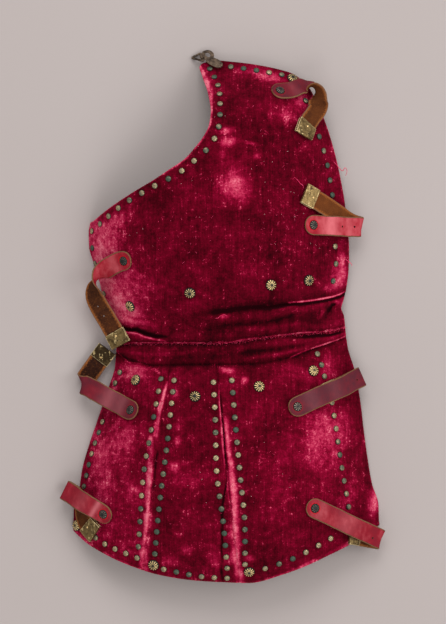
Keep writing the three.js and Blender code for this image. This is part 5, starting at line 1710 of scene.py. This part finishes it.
# %% Ring of the clasp
def tube(path, radius, sides, wobble):
    """Points and faces of a closed loop of wire, in the plane of x and y."""
    ahead, behind = np.roll(path, -1, axis=0), np.roll(path, 1, axis=0)
    along = unit(ahead - behind)
    out = np.column_stack([along[:, 1], -along[:, 0], 0 * along[:, 0]])
    angle = np.arange(sides) * 2 * math.pi / sides
    thick = radius * (1 + wobble * waves(*(path[:, :2].T * 3), 20 * MM, 8 * MM, 5))
    ring = out[:, None] * np.cos(angle)[:, None] + np.array([0, 0, 1]) * np.sin(angle)[:, None]
    points = (path[:, None] + ring * thick[:, None, None]).reshape(-1, 3)
    return points, closed_faces(len(path), sides, [(0, 0), (1, 0), (1, 1), (0, 1)])


corners = np.column_stack([RING_CORNERS, [0, 0, 0]])
steps = np.linspace(0, 1, WIRE["steps"])
ring_path = []
for before, corner, after in zip(np.roll(corners, 1, axis=0), corners, np.roll(corners, -1, axis=0)):
    start = corner + unit(before - corner) * WIRE["bend"]
    end = corner + unit(after - corner) * WIRE["bend"]
    ring_path += [(1 - t) ** 2 * start + 2 * t * (1 - t) * corner + t**2 * end for t in steps]
    stretch = after + unit(corner - after) * WIRE["bend"] - end
    ring_path += [end + stretch * t for t in steps[1:-1]]
ring_points, ring_faces = tube(np.array(ring_path), WIRE["radius"], WIRE["sides"], WIRE["wobble"])
ring = new_mesh("clasp_ring_wire", from_bar(ring_points, -RING_DROP), ring_faces.tolist(), [bronze])
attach(ring, "ring")
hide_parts("clasp_ring")
print("ring:", len(ring.data.polygons), "faces")

# %% [markdown]
# ## Plates
# The hidden plates keep the solids' own shapes. They only show from below, as dark forged steel.

# %% Steel
RUST = srgb(96, 58, 36)

steel = Finish("forged_steel", roughness=0.5, metallic=0.9)
scale_noise, pits = steel.noise(90, detail=5), steel.noise(700, detail=4, shift=2)
steel_shade = steel.mix(scale_noise, srgb(62, 58, 56), srgb(112, 106, 100))
steel.colour(steel.mix(steel.step(scale_noise * 0.5 + pits * 0.5, 0.54, 0.66) * 0.7, steel_shade, RUST))
steel.roughness(0.4 + pits * 0.4)
steel.bump(pits + scale_noise, 0.4 * MM, 0.5)
for panel in ("breast", "skirt_side", "skirt_middle", "skirt_front"):
    steel_plate = bpy.data.objects["plate_" + panel]
    steel_plate.data.materials.clear()
    steel_plate.data.materials.append(steel.material)
    print(steel_plate.name, "is steel")

# %% [markdown]
# ## Fray and loose threads
# Old velvet sheds. Short ends stand up along the waist seam and the worn edges, and a few long threads have
# worked loose. A hair system could grow them, but hair isn't exported with the model. So each thread is a
# thin tapered tube, and all of one kind are joined.

# %% Silk
def silk_of(name, dark, light):
    """Silk thread, a little uneven in its dye."""
    finish = Finish(name, roughness=0.7, Specular_IOR_Level=0.1)
    finish.colour(finish.mix(finish.step(finish.noise(400, detail=2), 0.4, 0.6), dark, light))
    finish.bump(finish.noise(3000, detail=2), 0.1 * MM, 0.4)
    return finish


silk = silk_of("silk_threads", srgb(150, 8, 44), srgb(206, 52, 92))
bright_silk = silk_of("silk_bright", srgb(206, 24, 76), srgb(240, 76, 122))
lint = Finish("lint", roughness=0.9)
lint.colour(lint.mix(lint.noise(300), srgb(226, 130, 146), srgb(244, 214, 210)))
lint.bump(lint.noise(2000), 0.1 * MM, 0.3)
print("thread materials:", silk.material.name, bright_silk.material.name, lint.material.name)

# %% Threads
SKEW = (0.31, 0.52, 0.79)  # a direction that no thread happens to run in


def strands(name, paths, radius, finish, sides=4):
    """Joined threads, each along a row of points, thinner towards its ends."""
    paths = np.asarray(paths)
    along = unit(np.gradient(paths, axis=1))
    first = unit(np.cross(along, SKEW))
    second = np.cross(along, first)
    t = np.linspace(0, 1, paths.shape[1])
    thick = radius * (0.35 + 0.65 * np.sin(math.pi * (0.15 + 0.75 * t)))
    angle = np.arange(sides) * 2 * math.pi / sides
    ring = first[:, :, None] * np.cos(angle)[:, None] + second[:, :, None] * np.sin(angle)[:, None]
    points = paths[:, :, None] + ring * thick[None, :, None, None]
    count, steps = paths.shape[:2]
    faces = []
    for s in range(count):
        base = s * steps * sides
        for i in range(steps - 1):
            for k in range(sides):
                a, b = base + i * sides + k, base + i * sides + (k + 1) % sides
                faces.append([a, b, b + sides, a + sides])
        faces.append([base + k for k in range(sides)][::-1])
        faces.append([base + (steps - 1) * sides + k for k in range(sides)])
    piece = new_mesh(name, points.reshape(-1, 3), faces, [finish])
    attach(piece, BODY)
    print(name, "has", count, "threads")


# %% [markdown]
# Short ends are scattered along a path, where the cloth is worn. Each gets a direction, a length and a bend
# of its own, and none is made where it would hang over the garment's edge.

# %% Short ends
TUFT_POINTS = 5
TUFT_ARCH = 2.2  # radians of a sine that a tuft rises by
TUFT_RISE, TUFT_BEND = 0.6, 0.35  # shares of its length
EDGE_CLEAR = 0.2 * MM
OVER_PILE = 0.1 * MM


def tufts(path, count, spread, length, lie):
    """Short curved ends scattered along a path of the plan. "lie" is how flat they lie, 0 to 1."""
    path, made = np.asarray(path) * MM, []
    for _ in range(count):
        x, y = catmull(path, random.uniform(0, len(path) - 1)) + random.normal(0, spread * MM, 2)
        foot, normal = on_velvet(x, y)
        turn = random.uniform(0, 2 * math.pi)
        flat = unit(np.cross(normal[0], [math.cos(turn), math.sin(turn), 0]))
        bend = random.normal(0, 0.5, 3)
        reach = random.uniform(0.4, 1.0) * length * MM
        t = np.linspace(0, 1, TUFT_POINTS)[:, None]
        rise = normal[0] * np.sin(t * TUFT_ARCH) * reach * (1 - lie) * TUFT_RISE
        if edge_distance(x, y) > EDGE_CLEAR:
            made.append(foot[0] + flat * t * reach + rise + bend * t**2 * reach * TUFT_BEND)
    made = np.array(made)
    made[..., 2] = np.maximum(made[..., 2], velvet_height(made[..., 0], made[..., 1]) + OVER_PILE)
    return made


# Columns: path as x, y, how many, how far they stray from it and their length in millimetres, how flat
# they lie from 0 to 1.
SEAM_FRAY = [(WAIST_SEAM / MM, 420, 0.55, 2.6, 0.6)]
EDGE_FRAY = [
    (ARMHOLE[4:, ::-1] / MM, 150, 1.2, 2.0, 0.7),
    (SEAM_SIDE[:6, ::-1] / MM, 90, 1.6, 2.2, 0.8),
    (SEAM_FRONT[:8, ::-1] / MM + [2, 0], 90, 1.8, 2.2, 0.8),
    ([[12, 142], [20, 133], [6, 150]], 30, 6.0, 2.4, 0.8),
    ([[-95, -58], [-105, -66]], 30, 5.0, 2.2, 0.8),
]
SCUFFS = [
    ([[-90, 60], [-30, 110], [10, 190], [60, 200], [70, 130], [60, 70], [-30, 50]], 120, 18.0, 3.4, 0.95),
    ([[-110, -110], [-50, -110], [-40, -190], [50, -120], [60, -210], [110, -150]], 90, 20.0, 3.0, 0.95),
]
LINT = [
    ([[-60, 120], [20, 190], [60, 150], [90, 60]], 22, 24.0, 1.3, 0.9),
    ([[-110, 60], [-70, 60], [40, 90], [90, 110]], 12, 22.0, 1.3, 0.9),
    ([[-100, -100], [-50, -180], [60, -160], [120, -120]], 18, 26.0, 1.3, 0.9),
]


def short_ends(name, rows, radius, finish):
    """One piece with the tufts of all rows of a table."""
    strands(name, np.concatenate([tufts(*row) for row in rows]), radius, finish)


short_ends("fray_waist_seam", SEAM_FRAY, 0.16 * MM, silk)
short_ends("fray_edges", EDGE_FRAY, 0.13 * MM, silk)
short_ends("scuffed_pile", SCUFFS, 0.16 * MM, bright_silk)

# %% [markdown]
# Four long threads have places of their own. They follow the velvet's height, and where one passes the edge
# it keeps the height that it had there.

# %% Loose threads
THREAD_POINTS = 25
EDGE_INSET = 2 * MM

# Columns: points as x, y, and height over the velvet in millimetres.
LOOSE_THREADS = [
    [[120.5, 166, 0.3], [124.9, 161.2, 0.8], [130.2, 156, 1.8], [132.9, 159.4, 2.4], [135, 156, 1.6],
     [133.4, 150.7, 0.6]],
    [[132, 63, 0.3], [134.5, 60.5, 0.8], [137.5, 58.4, 0.4], [139.6, 56.5, 0], [140.5, 54, -0.6]],
    [[78, 148.5, 0.3], [81.5, 145.5, 0.7], [84.5, 141.8, 0.9], [87.2, 139.8, 0.6], [88.2, 136.5, 0.3]],
    [[7, 0.5, 0.2], [3, 1.8, 0.8], [-1, 0.4, 0.7], [-3.4, -1.6, 0.3], [-6, -1.8, 0.2]],
]
loose = []
for thread in LOOSE_THREADS:
    fine = np.array([catmull(thread, t) for t in np.linspace(0, len(thread) - 1, THREAD_POINTS)]) * MM
    over_edge = np.minimum(fine[:, 0], front_x(fine[:, 1]) - EDGE_INSET)
    fine[:, 2] += velvet_height(over_edge, fine[:, 1]) + 0.3 * MM
    loose.append(fine)
strands("loose_threads", loose, 0.34 * MM, bright_silk, sides=8)

# %% [markdown]
# Last come a few pale specks of lint, which settle on any old velvet.

# %% Lint
short_ends("lint_specks", LINT, 0.17 * MM, lint)
